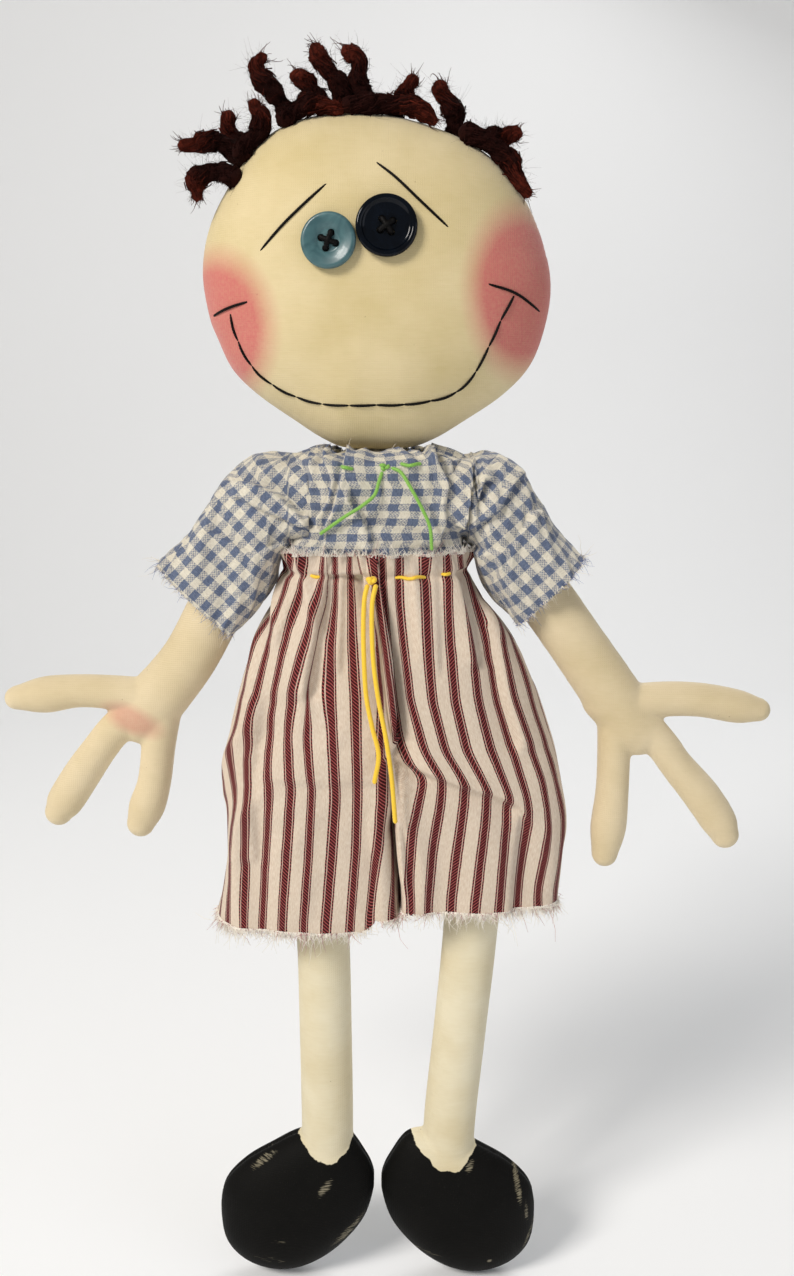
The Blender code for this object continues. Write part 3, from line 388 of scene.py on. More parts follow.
def muslin(name, light="#e2d9bd", dark="#d3c5a0", blush=False):
    """Unbleached cotton muslin, plain weave: matt, with slubs and a few dark flecks of seed. Its
    threads are 0.4 mm apart, drawn at 0.8 mm so that the weave still shows in the render."""
    material, tree, shader = new_material(name, Roughness=0.92, Sheen_Weight=0.25)
    place = object_place(tree)
    slub = noise(tree, place, 1.0, 2.0, (160.0, 400.0, 1100.0))
    tone = node(tree, "ShaderNodeMix", {"Factor": 0.16, 2: noise(tree, place, 38.0, 4.0), 3: slub}).outputs[0]
    colour = blend_colours(tree, rescale(tree, tone, 0.30, 0.66), linear(dark), linear(light))
    cell = node(tree, "ShaderNodeTexVoronoi", {"Vector": place, "Scale": 210.0}).outputs["Distance"]
    rare = calc(tree, "GREATER_THAN", noise(tree, place, 130.0), 0.60)
    fleck = calc(tree, "MULTIPLY", calc(tree, "LESS_THAN", cell, 0.055), rare)
    colour = blend_colours(tree, calc(tree, "MULTIPLY", fleck, 0.45), colour, linear("#6b4a2a"))
    if blush:
        rub = rescale(tree, noise(tree, place, 900.0, 3.0), 0.3, 0.7, 0.90, 1.05)
        powder = calc(tree, "MULTIPLY", kept_number(tree, "blush"), rub)
        colour = blend_colours(tree, powder, colour, linear("#c2565a"))
    tree.links.new(colour, shader.inputs["Base Color"])
    threads = [node(tree, "ShaderNodeTexWave", {
        "Vector": place, "Scale": 390.0, "Distortion": 2.4, "Detail": 2.0},
        bands_direction=axis).outputs["Fac"] for axis in ("X", "Z")]
    relief(tree, shader, calc(tree, "ADD", *threads), 0.24, 0.0002)
    return material


face_muslin = muslin("unbleached_muslin_with_blush", "#d9c89d", "#cab886", blush=True)
arm_muslin = muslin("unbleached_muslin_of_the_arms", "#dccba8", "#cdbb93", blush=True)
plain_muslin = muslin("unbleached_muslin")
HEAD_RIM = rim_of(HEAD_RIM_SHARES, HEAD_WIDTH / 2, HEAD_HEIGHT / 2)
head_places = pad(HEAD_RIM, HEAD_THICKNESS / 2, (0, 0, HEAD_MIDDLE), 300, 150, 88, 0.006)
head = surface("head_muslin", head_places, face_muslin, wrap=True, ends=True)
x_share = head_places[..., 0] / (HEAD_WIDTH / 2)
z_share = (head_places[..., 2] - HEAD_MIDDLE) / (HEAD_HEIGHT / 2)
powder = np.zeros_like(x_share)
for middle_x, middle_z, reach_x, reach_z in CHEEK_SHARES:
    far = np.hypot((x_share - middle_x) / reach_x, (z_share - middle_z) / reach_z)
    powder = np.maximum(powder, 0.84 * np.clip((1.12 - far) / 0.42, 0, 1) ** 1.2)
wrapped = np.clip(1 - head_places[..., 1] / 0.012, 0, 1)
mark(head, "blush", (powder * wrapped).ravel())
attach(head, "head")
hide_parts("head")


# The torso: a muslin bag with square shoulders and a short neck, stuffed, hidden by the clothes.
TORSO_WIDTH, TORSO_THICKNESS = 0.064, 0.037
CROTCH_HEIGHT = 0.2735
TORSO_TOP = CHIN_HEIGHT - 0.0003
TORSO_RIM_SHARES = [
    (1.00, 0.00), (1.00, 0.40), (0.97, 0.66), (0.84, 0.78), (0.62, 0.83), (0.54, 0.90),
    (0.46, 0.985), (0.20, 1.00), (-0.20, 1.00), (-0.46, 0.985), (-0.54, 0.90), (-0.62, 0.83),
    (-0.84, 0.78), (-0.97, 0.66), (-1.00, 0.40), (-1.00, 0.00), (-1.00, -0.50),
    (-0.97, -0.85), (-0.80, -0.99), (-0.40, -1.00), (0.40, -1.00), (0.80, -0.99),
    (0.97, -0.85), (1.00, -0.50),
]
torso_rim = rim_of(TORSO_RIM_SHARES, TORSO_WIDTH / 2, (TORSO_TOP - CROTCH_HEIGHT) / 2)
torso_middle = (0, 0, (TORSO_TOP + CROTCH_HEIGHT) / 2)
torso_places = pad(torso_rim, TORSO_THICKNESS / 2, torso_middle, 160, 60, 60, 0.008)
torso = surface("torso_muslin", torso_places, plain_muslin, wrap=True, ends=True)
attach(torso, "torso")
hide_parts("torso")


# The face's stitches: black floss, sewn through the muslin after stuffing. The brows and ticks are
# long single stitches, and the mouth is a row of backstitches that dip into the cloth at each end.
FLOSS_DIAMETER = 0.0010
BACKSTITCH_LENGTH = 0.0105
STITCH_SHARES = {
    "brow_stitch_right": [(-0.629, 0.164), (-0.504, 0.302), (-0.394, 0.410), (-0.259, 0.537)],
    "brow_stitch_left": [(0.004, 0.659), (0.106, 0.572), (0.241, 0.436), (0.397, 0.287)],
    "smile_tick_right": [(-0.931, -0.191), (-0.820, -0.150), (-0.710, -0.121)],
    "smile_tick_left": [(0.614, -0.023), (0.770, -0.070), (0.927, -0.167)],
    "mouth_stitch": [
        (-0.815, -0.185), (-0.795, -0.290), (-0.752, -0.405), (-0.693, -0.505), (-0.62, -0.578),
        (-0.53, -0.638), (-0.432, -0.682), (-0.315, -0.714), (-0.175, -0.724), (0.005, -0.722),
        (0.134, -0.721), (0.246, -0.709), (0.359, -0.686), (0.444, -0.650), (0.500, -0.603),
        (0.554, -0.532), (0.597, -0.444), (0.644, -0.340), (0.698, -0.213), (0.764, -0.084),
    ],
}


def on_face(x_share, z_share, lift=0.0):
    """The places on the face at these shares of its half width and height, raised by lift along the
    way out, which is returned too: the slope of the pad's depth, measured over one floss diameter."""
    x, z = np.asarray(x_share) * HEAD_WIDTH / 2, np.asarray(z_share) * HEAD_HEIGHT / 2
    half, step = HEAD_THICKNESS / 2, FLOSS_DIAMETER
    across = pad_depth(HEAD_RIM, half, x - step, z) - pad_depth(HEAD_RIM, half, x + step, z)
    upward = pad_depth(HEAD_RIM, half, x, z - step) - pad_depth(HEAD_RIM, half, x, z + step)
    out = np.stack([across, -2 * step * np.ones_like(across), upward], axis=-1)
    out /= np.linalg.norm(out, axis=-1, keepdims=True)
    place = np.stack([x, -pad_depth(HEAD_RIM, half, x, z), HEAD_MIDDLE + z], axis=-1)
    return place + out * np.asarray(lift)[..., None], out


black_floss = floss("black_cotton_floss", "#0c0a09", "#040303", 0.0, 0.12)
for stitch_name, shares in STITCH_SHARES.items():
    is_mouth = stitch_name == "mouth_stitch"
    share_line = smooth_line(shares, 420 if is_mouth else 120)
    along = along_line(share_line * (HEAD_WIDTH / 2, HEAD_HEIGHT / 2))
    count = round(along[-1] / BACKSTITCH_LENGTH) if is_mouth else 1
    dip = np.abs(np.sin(along / along[-1] * count * math.pi)) ** 0.42
    stitch_line = on_face(share_line[:, 0], share_line[:, 1], FLOSS_DIAMETER * (0.97 * dip - 0.60))[0]
    thickness = FLOSS_DIAMETER / 2 * (0.80 + 0.22 * dip)
    stitch = surface(stitch_name + "_floss", tube(stitch_line, thickness, 12, FLOSS_PLIES, FLOSS_LAY, 0.2),
                     black_floss, wrap=True, ends=True)
    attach(stitch, "head")
    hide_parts(stitch_name)


# The eyes: two unlike four-hole buttons of polyester resin, turned and polished, each sewn on with a
# cross of black floss. The teal one has a pearly raised rim, and the navy one is smooth and glossy.
BUTTON_THICKNESS = 0.0030
HOLE_DIAMETER, HOLE_SPREAD = 0.0026, 0.0056
EYE_THREAD_RADIUS = 0.0010
# A button's upper side from its middle out, over its rim and back under: shares of its radius and
# of its thickness.
TEAL_PROFILE_SHARES = [
    (0.00, 0.50), (0.30, 0.50), (0.40, 0.52), (0.46, 0.62), (0.60, 0.80), (0.74, 0.92), (0.86, 1.00),
    (0.93, 0.96), (0.98, 0.82), (1.00, 0.58), (0.97, 0.30), (0.86, 0.06), (0.70, 0.00), (0.00, 0.00),
]
NAVY_PROFILE_SHARES = [
    (0.00, 0.58), (0.40, 0.58), (0.66, 0.62), (0.76, 0.72), (0.82, 0.92), (0.88, 1.00), (0.94, 0.98),
    (0.985, 0.84), (1.00, 0.60), (0.97, 0.30), (0.86, 0.06), (0.70, 0.00), (0.00, 0.00),
]


def resin(name, colour, streak, roughness, coat, pearl, shine):
    """Polyester button resin, IOR 1.55: glossy and hard, with a pearly cloud that streams through the
    teal one, and fine scratches that break its gloss."""
    material, tree, shader = new_material(name, IOR=1.55, Coat_Weight=coat, Coat_Roughness=0.06,
                                          Specular_IOR_Level=shine)
    place = object_place(tree)
    cloud = node(tree, "ShaderNodeTexNoise", {"Vector": place, "Scale": 120.0, "Detail": 4.0,
                                              "Distortion": 2.0}).outputs["Fac"]
    cloud = rescale(tree, cloud, 0.35, 0.7, 0.0, pearl)
    tree.links.new(blend_colours(tree, cloud, linear(colour), linear(streak)), shader.inputs["Base Color"])
    gloss = rescale(tree, noise(tree, place, 1500.0), 0.0, 1.0, roughness, roughness + 0.12)
    tree.links.new(gloss, shader.inputs["Roughness"])
    return material


def evaluated_mesh(made):
    """The object's mesh with its modifiers applied, which it then keeps."""
    bpy.context.view_layer.update()
    mesh = bpy.data.meshes.new_from_object(made.evaluated_get(bpy.context.evaluated_depsgraph_get()))
    made.modifiers.clear()
    made.data = mesh
    return mesh


def eye(side, radius, x_share, z_share, profile_shares, material, turn_degrees):
    """A button turned from its profile, carried round the way out of the face, with its four holes cut
    through by cylinders, and two threads that cross through the holes."""
    seat, out = on_face(x_share, z_share, 0.0003)
    side_way = unit(np.cross(out, (0, 0, 1.0)))
    up_way = np.cross(side_way, out)
    profile = smooth_line(np.array(profile_shares[:-1]) * (radius, BUTTON_THICKNESS), 60)
    profile = np.vstack([profile[1:], [(0.02 * radius, 0)]])
    turn = (np.arange(96) / 96 * 2 * math.pi)[None, :, None]
    spokes = np.cos(turn) * side_way + np.sin(turn) * up_way
    places = seat + profile[:, 0, None, None] * spokes + profile[:, 1, None, None] * out
    button = surface("eye_" + side + "_resin", places, material, wrap=True, ends=True)
    hole_turn = (np.arange(28) / 28 * 2 * math.pi)[None, :, None]
    hole_ring = (np.cos(hole_turn) * side_way + np.sin(hole_turn) * up_way) * HOLE_DIAMETER / 2
    hole_ends = np.array([-0.4, 1.6])[:, None, None] * BUTTON_THICKNESS * out
    angles = np.radians(turn_degrees + 90 * np.arange(4))[:, None]
    hole_middles = (np.cos(angles) * side_way + np.sin(angles) * up_way) * HOLE_SPREAD / 2
    for number, middle in enumerate(hole_middles):
        hole = surface(f"eye_{side}_hole_{number}", seat + middle + hole_ends + hole_ring, material,
                       wrap=True, ends=True)
        cut = button.modifiers.new("drill the hole", "BOOLEAN")
        cut.operation, cut.object, cut.solver = "DIFFERENCE", hole, "EXACT"
        evaluated_mesh(button)
        bpy.data.objects.remove(hole)
    button.data.set_sharp_from_angle(angle=math.radians(40))
    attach(button, "head")
    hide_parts("eye_button_" + side)
    well = (profile_shares[0][1] + 0.16) * BUTTON_THICKNESS * out
    for number, spoke in enumerate(hole_middles[:2]):
        route = [seat - spoke, seat - spoke + 0.9 * well, seat - 0.6 * spoke + 1.12 * well,
                 seat + (1.25 + 0.2 * number) * well, seat + 0.6 * spoke + 1.12 * well,
                 seat + spoke + 0.9 * well, seat + spoke]
        thread = surface(f"eye_thread_{side}_floss_{number + 1}",
                         tube(smooth_line(route, 60), EYE_THREAD_RADIUS, 12, FLOSS_PLIES, FLOSS_LAY, 0.2),
                         black_floss, wrap=True, ends=True)
        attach(thread, "head")
        if number == 0:
            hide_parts("eye_thread_" + side)


teal_resin = resin("teal_polyester_resin", "#34565b", "#5f8588", 0.30, 0.15, 0.40, 0.4)
navy_resin = resin("navy_polyester_resin", "#05080e", "#0c131d", 0.05, 0.20, 0.5, 0.06)
eye("right", 0.0099, -0.248, 0.208, TEAL_PROFILE_SHARES, teal_resin, 20)
eye("left", 0.0110, 0.060, 0.288, NAVY_PROFILE_SHARES, navy_resin, 55)


# The hair: short locks of dark red-brown wool roving, felted by hand and tacked along the head's top
# seam. Each lock is lumpy, its tip is painted redder as a painted highlight where it catches the light,
# and loose fibres stand out all over it.
HAIR_DIAMETER, HAIR_REACH = 0.0064, 0.026
HAIR_LOCK_SHARES = {
    "hair_lock_1": (0.05, [(137, 0.01), (138, 0.42), (141, 0.66), (145, 0.84)]),
    "hair_lock_2": (-0.30, [(144, 0.07), (146, 0.36), (150, 0.48), (155, 0.42)]),
    "hair_lock_3": (0.36, [(134, 0.075), (135, 0.42), (134, 0.68), (131, 0.83)]),
    "hair_lock_4": (-0.22, [(137, 0.13), (131, 0.15), (126, 0.25), (124, 0.48)]),
    "hair_lock_5": (0.05, [(118, 0.03), (119, 0.45), (120, 0.80), (117, 1.02)]),
    "hair_lock_6": (-0.24, [(120, 0.12), (114, 0.17), (108, 0.16), (103, 0.11)]),
    "hair_lock_7": (0.05, [(107, 0.05), (108, 0.30), (109, 0.48), (112, 0.58)]),
    "hair_lock_8": (0.05, [(99, 0.05), (101, 0.40), (103, 0.68), (105, 0.90)]),
    "hair_lock_9": (0.05, [(92, 0.06), (95, 0.40), (95, 0.70), (97, 0.88)]),
    "hair_lock_10": (-0.24, [(99, 0.13), (89, 0.17), (79, 0.17), (70, 0.13)]),
    "hair_lock_11": (0.05, [(84, 0.03), (82, 0.32), (79, 0.52)]),
    "hair_lock_12": (0.05, [(62, 0.05), (65, 0.30), (69, 0.44), (72, 0.58)]),
    "hair_lock_13": (0.05, [(54, 0.09), (50, 0.32), (46, 0.48)]),
    "hair_lock_14": (-0.24, [(58, 0.14), (49, 0.18), (40, 0.17), (31, 0.12)]),
}
FIBRES_PER_LOCK, STRANDS_PER_LOCK = 820, 200
LOCK_PLACES, LOCK_SIDES = 90, 40
FIBRE_THICKNESS, LONGEST_FIBRE, STRAND_THICKNESS, STRAND_OVERRUN = 0.00005, 0.0042, 0.00026, 0.010
TIP_HIGHLIGHT_FROM_SHARE = 0.62  # from this share of its length on, a lock's colour turns redder: a painted highlight on the tips
chance = np.random.default_rng(7)


def wool(name):
    """Felted wool roving: quite matt, nearly black along most of each lock and painted redder towards
    the tips as a painted highlight where they catch the light, with fine streaks along each lock."""
    material, tree, shader = new_material(name, Roughness=1.0, Sheen_Weight=0.05, Sheen_Roughness=0.6,
                                          Sheen_Tint=linear("#7c3a2c"), Specular_IOR_Level=0.1)
    streak = noise(tree, object_place(tree), 620.0, 5.0)
    body = blend_colours(tree, streak, linear("#0d0403"), linear("#2a0d09"))
    ends = blend_colours(tree, streak, linear("#2e0d08"), linear("#6c2a1b"))
    tree.links.new(blend_colours(tree, kept_number(tree, "tip"), body, ends), shader.inputs["Base Color"])
    relief(tree, shader, streak, 0.9, 0.0008)
    return material


def threads_of(name, line, thickness, material, tips):
    """Fine threads as one mesh, from an array of threads by places: three-sided, of radius thickness
    (1 - 0.75 s) along the share s of each. Each thread keeps its own number for its material."""
    count, long = line.shape[:2]
    share = np.linspace(0, 1, long)
    ahead = np.gradient(line, axis=1)
    side = unit(np.cross(ahead, (0.31, 0.77, 0.55)))
    up = unit(np.cross(side, ahead))
    turn = np.arange(3) / 3 * 2 * math.pi
    fat = thickness * (1 - 0.75 * share)[None, :, None, None]
    ring = np.cos(turn)[:, None] * side[:, :, None] + np.sin(turn)[:, None] * up[:, :, None]
    places = (line[:, :, None] + ring * fat).reshape(-1, 3)
    first = (np.arange(count) * 3 * long)[:, None, None]
    row, col = np.indices((long - 1, 3)).reshape(2, 1, -1, 1)
    step = np.array([[0, 0], [0, 1], [1, 1], [1, 0]])
    quads = first + (row + step[:, 0]) * 3 + (col + step[:, 1]) % 3
    starts, ends = first[:, 0] + [2, 1, 0], first[:, 0] + 3 * long + [-3, -2, -1]
    mesh = bpy.data.meshes.new(name)
    mesh.from_pydata((places - HANG_POINT).tolist(), [],
                     quads.reshape(-1, 4).tolist() + starts.tolist() + ends.tolist())
    mesh.materials.append(material)
    mesh.shade_smooth()
    made = bpy.data.objects.new(name, mesh)
    bpy.context.scene.collection.objects.link(made)
    mark(made, "tip", np.repeat(tips, 3 * long))
    return made


def fibres(name, roots, ways, lengths, thickness, curl, material, tips):
    """Loose fibres of five places: each starts at a root, runs its way for its length and bends aside by
    curl times the square of the share run."""
    share = np.linspace(0, 1, 5)[None, :, None]
    lengths = lengths[:, None, None]
    aside = chance.normal(size=(len(roots), 1, 3)) * curl * lengths
    wriggle = chance.normal(size=(len(roots), 5, 3)) * 0.06 * lengths * share
    line = roots[:, None] + ways[:, None] * share * lengths + aside * share**2 + wriggle
    return threads_of(name, line, thickness, material, tips)


def strands(name, grid, count, past_tip, twist, thickness, material):
    """The strands that a lock is spun from: each lies on the lock's own grid, turns round it by twist
    over its length, lifts a little at its ends, and may run past the tip, where it spreads."""
    rows, around = grid.shape[:2]
    share = np.linspace(0, 1, 11)[None, :]
    start = chance.uniform(-0.15, 0.80, (count, 1))
    along = start + chance.uniform(0.25, 0.60, (count, 1)) * share
    winding = twist * along + 0.25 * np.sin(9 * along + 40 * start)
    turn = chance.uniform(0, around, (count, 1)) + winding * around / 6.3
    row = np.clip(along, 0, 1) * (rows - 5) + 2
    low_row, low_turn = np.floor(row).astype(int), np.floor(turn).astype(int)
    part_row, part_turn = (row - low_row)[..., None], (turn - low_turn)[..., None]

    def round_row(at_row):
        """The places on these rows of the grid, each between two of its columns."""
        return (grid[at_row, low_turn % around] * (1 - part_turn)
                + grid[at_row, (low_turn + 1) % around] * part_turn)

    line = round_row(low_row) * (1 - part_row) + round_row(low_row + 1) * part_row
    middle = grid.mean(axis=1)
    out = line - middle[low_row]
    lifts = 0.04 + 0.10 * chance.gamma(1.0, 1.0, (count, 1)) * (2 * share - 1) ** 2
    line = line + out * lifts[..., None]
    over = np.clip(along - 1, 0, 1)[..., None] * past_tip * chance.uniform(0.3, 1.6, (count, 1, 1))
    scatter = chance.normal(size=(count, 1, 3)) * 0.35
    line = line + over * (unit(middle[-3] - middle[-9]) + scatter) + over * out * 120
    # Strands near the tip carry the painted highlight: their colour turns redder there.
    wear_and_highlight = np.clip((along.mean(axis=1) - TIP_HIGHLIGHT_FROM_SHARE) / 0.3, 0, 1)
    return threads_of(name, line, thickness, material, wear_and_highlight * chance.uniform(0.3, 1, count))


wool_roving = wool("felted_wool_roving")
for lock_name, (layer_share, lock_shares) in HAIR_LOCK_SHARES.items():
    drawn_in = (1 - abs(layer_share) ** (1 / SEAM_POWER)) ** (1 / FULLNESS_POWER)
    angles = np.radians([angle for angle, _ in lock_shares])
    reach = rim_at(HEAD_RIM, angles) * drawn_in + np.array([lift for _, lift in lock_shares]) * HAIR_REACH
    layer = np.full(len(angles), layer_share * HEAD_THICKNESS / 2)
    lock_line = smooth_line(np.stack([reach * np.cos(angles), layer, HEAD_MIDDLE + reach * np.sin(angles)],
                                     axis=1), LOCK_PLACES)
    share = np.linspace(0, 1, LOCK_PLACES)
    wander = np.cumsum(chance.normal(size=(LOCK_PLACES, 3)), axis=0)
    wander -= share[:, None] * wander[-1]
    lock_line = lock_line + wander * 0.00009
    lock_line[:, 0] += 0.0011 * np.sin(share * 8 + chance.uniform(0, 6)) * share
    lock_line[:, 2] += 0.0009 * np.sin(share * 9 + chance.uniform(0, 6)) * share
    swell = 1 + 0.15 * np.sin(share * 11 + chance.uniform(0, 6))
    swell += 0.06 * np.sin(share * 29 + chance.uniform(0, 6))
    fat = HAIR_DIAMETER / 2 * np.interp(share, [0, 0.45, 0.88, 1], [0.95, 1.02, 0.92, 0.66]) * swell
    lock_grid = tube(lock_line, fat, LOCK_SIDES, 4, 0.026, 0.18)
    rough = chance.normal(size=lock_grid.shape[:2])
    rough = (rough + np.roll(rough, 1, 0) + np.roll(rough, 2, 0) + np.roll(rough, 1, 1)) / 4
    middle = lock_grid.mean(axis=1, keepdims=True)
    lock_grid = middle + (lock_grid - middle) * (1 + 0.09 * rough[..., None])
    lock = surface(lock_name + "_wool", lock_grid, wool_roving, wrap=True, ends=True)
    # Towards the tip the lock's colour turns redder: a painted highlight where the tips catch the light.
    wear_and_highlight = np.clip((np.linspace(0, 1, len(lock_grid)) - TIP_HIGHLIGHT_FROM_SHARE) / 0.33, 0, 1)[:, None]
    wear_and_highlight = np.clip(wear_and_highlight * (0.75 + 0.25 * rough), 0, 1).ravel()
    mark(lock, "tip", wear_and_highlight)
    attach(lock, "head")
    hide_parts(lock_name)
    picked = chance.integers(0, len(wear_and_highlight), FIBRES_PER_LOCK)
    roots = lock_grid.reshape(-1, 3)[picked]
    out = unit(roots - np.repeat(middle[:, 0], LOCK_SIDES, axis=0)[picked])
    out = unit(out + chance.normal(size=out.shape) * 0.55)
    lengths = np.minimum(chance.gamma(2.2, 0.0006, FIBRES_PER_LOCK), LONGEST_FIBRE)
    fuzz = fibres(lock_name + "_fuzz", roots - out * 0.0004, out, lengths, FIBRE_THICKNESS, 0.9, wool_roving,
                  wear_and_highlight[picked])
    spun = strands(lock_name + "_strands", lock_grid, STRANDS_PER_LOCK, STRAND_OVERRUN, 3.4,
                   STRAND_THICKNESS, wool_roving)
    for loose in (fuzz, spun):
        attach(loose, "head")


# The arms: each is a tube of muslin with its palm and three fingers cut in one, sewn round the edge,
# turned and stuffed. The palms sit flatter than the arm, and the web between fingers is shallow.
# A stretch is a list of places: sideways, height, and the width and thickness there.
ARM_STRETCHES = {
    "left": [
        [(0.0365, 0.3458, 0.0190, 0.0190), (0.0418, 0.3380, 0.0190, 0.0190),
         (0.0620, 0.3090, 0.0228, 0.0190), (0.0790, 0.2850, 0.0232, 0.0190),
         (0.0930, 0.2650, 0.0240, 0.0185), (0.1030, 0.2500, 0.0240, 0.0170)],
        [(0.0940, 0.2620, 0.0240, 0.0175), (0.1060, 0.2480, 0.0220, 0.0160)],
        [(0.1000, 0.2585, 0.0160, 0.0150), (0.1160, 0.2605, 0.0145, 0.0142),
         (0.1310, 0.2602, 0.0140, 0.0140), (0.1460, 0.2575, 0.0138, 0.0130),
         (0.1545, 0.2562, 0.0100, 0.0100)],
        [(0.1040, 0.2530, 0.0165, 0.0150), (0.1150, 0.2425, 0.0142, 0.0142),
         (0.1225, 0.2325, 0.0140, 0.0142), (0.1330, 0.2200, 0.0155, 0.0148),
         (0.1405, 0.2090, 0.0150, 0.0140), (0.1435, 0.2030, 0.0120, 0.0115)],
        [(0.0970, 0.2560, 0.0160, 0.0150), (0.0965, 0.2400, 0.0138, 0.0142),
         (0.0963, 0.2220, 0.0136, 0.0140), (0.0952, 0.2060, 0.0148, 0.0140),
         (0.0940, 0.1945, 0.0110, 0.0110)],
    ],
    "right": [
        [(-0.0365, 0.3458, 0.0190, 0.0190), (-0.0418, 0.3380, 0.0190, 0.0190),
         (-0.0610, 0.3050, 0.0222, 0.0190), (-0.0745, 0.2800, 0.0226, 0.0190),
         (-0.0850, 0.2660, 0.0236, 0.0185), (-0.0940, 0.2550, 0.0240, 0.0170)],
        [(-0.0870, 0.2640, 0.0240, 0.0175), (-0.0960, 0.2530, 0.0220, 0.0160)],
        [(-0.0920, 0.2610, 0.0165, 0.0150), (-0.1060, 0.2632, 0.0142, 0.0140),
         (-0.1210, 0.2640, 0.0136, 0.0138), (-0.1350, 0.2624, 0.0150, 0.0138),
         (-0.1465, 0.2612, 0.0100, 0.0105)],
        [(-0.0960, 0.2560, 0.0160, 0.0150), (-0.1065, 0.2485, 0.0145, 0.0142),
         (-0.1140, 0.2395, 0.0145, 0.0145), (-0.1215, 0.2290, 0.0155, 0.0148),
         (-0.1290, 0.2175, 0.0152, 0.0140), (-0.1318, 0.2130, 0.0120, 0.0115)],
        [(-0.0880, 0.2560, 0.0165, 0.0150), (-0.0898, 0.2410, 0.0140, 0.0142),
         (-0.0920, 0.2260, 0.0138, 0.0140), (-0.0955, 0.2150, 0.0150, 0.0140),
         (-0.0982, 0.2080, 0.0120, 0.0112)],
    ],
}
STUFFED_VOXEL = 0.0008
STUFFED_SEAM_PULL, STUFFED_SEAM_WIDTH = 0.0005, 0.0010
# The blush rubbed on the right hand: its middle sideways and up, and its reach each way.
HAND_BLUSH = (-0.0985, 0.2535, 0.0115, 0.0062)


def stuffed_tube(stations, around=40):
    """A closed tube along a line in the doll's middle plane: at distance s it is an ellipse of width
    w(s) across the line and thickness t(s) from front to back, with half-round ends."""
    read = smooth_line(stations, 80)
    level = np.zeros(len(read))
    line = np.stack([read[:, 0], level, read[:, 1]], axis=1)
    ahead = unit(np.gradient(line, axis=0))
    side = np.stack([ahead[:, 2], level, -ahead[:, 0]], axis=1)
    turn = (np.arange(around) / around * 2 * math.pi)[None, :, None]
    body = (line[:, None] + np.cos(turn) * side[:, None] * read[:, 2, None, None] / 2
            + np.sin(turn) * np.array([0, 1.0, 0]) * read[:, 3, None, None] / 2)
    caps = []
    for end, sign in ((0, -1), (-1, 1)):
        for lean in np.linspace(0, math.pi / 2, 9)[1:-1]:
            out = sign * ahead[end] * read[end, 2] / 2 * math.sin(lean)
            caps.append(line[end] + (body[end] - line[end]) * math.cos(lean) + out)
    return np.concatenate([caps[6::-1], body, caps[7:]])


def stuffed(name, forms, material, rounds):
    """Several closed forms grown into one skin: remeshed in small voxels, relaxed so that the webs
    between them fill in, and drawn in by about half a millimetre along the seam in the middle plane."""
    parts = [surface(f"{name}_{i}", form, material, wrap=True, ends=True) for i, form in enumerate(forms)]
    for part in parts:
        part.select_set(True)
    bpy.context.view_layer.objects.active = parts[0]
    with bpy.context.temp_override(active_object=parts[0], selected_editable_objects=parts):
        bpy.ops.object.join()
    made = parts[0]
    made.name = made.data.name = name
    remesh = made.modifiers.new("one skin", "REMESH")
    remesh.mode, remesh.voxel_size = "VOXEL", STUFFED_VOXEL
    relax = made.modifiers.new("relax the skin", "SMOOTH")
    relax.factor, relax.iterations = 0.5, rounds
    mesh = evaluated_mesh(made)
    places, normals = np.zeros(3 * len(mesh.vertices)), np.zeros(3 * len(mesh.vertices))
    mesh.vertices.foreach_get("co", places)
    mesh.vertices.foreach_get("normal", normals)
    places, normals = places.reshape(-1, 3), normals.reshape(-1, 3)
    from_seam = places[:, 1] + HANG_POINT[1]
    run = places[:, 0] + places[:, 2]
    pucker = 0.6 + 0.25 * np.sin(run * 2600) + 0.15 * np.sin(run * 4100 + 1)
    at_seam = np.exp(-((from_seam / STUFFED_SEAM_WIDTH) ** 2))
    places -= normals * (STUFFED_SEAM_PULL * pucker * at_seam)[:, None]
    mesh.vertices.foreach_set("co", places.astype(np.float32).ravel())
    mesh.shade_smooth()
    mesh.update()
    return made, places + HANG_POINT


for side in ("left", "right"):
    forms = [stuffed_tube(stations) for stations in ARM_STRETCHES[side]]
    arm, arm_places = stuffed("arm_" + side + "_muslin", forms, arm_muslin, 10)
    blush_x, blush_z, reach_x, reach_z = HAND_BLUSH
    lean = (arm_places[:, 2] - blush_z) + 0.35 * (arm_places[:, 0] - blush_x)
    far = np.hypot((arm_places[:, 0] - blush_x) / reach_x, lean / reach_z)
    mark(arm, "blush", 0.42 * np.clip((1.25 - far) / 0.7, 0, 1) * (arm_places[:, 1] < 0))
    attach(arm, "arm_" + side)
    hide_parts("arm_" + side)


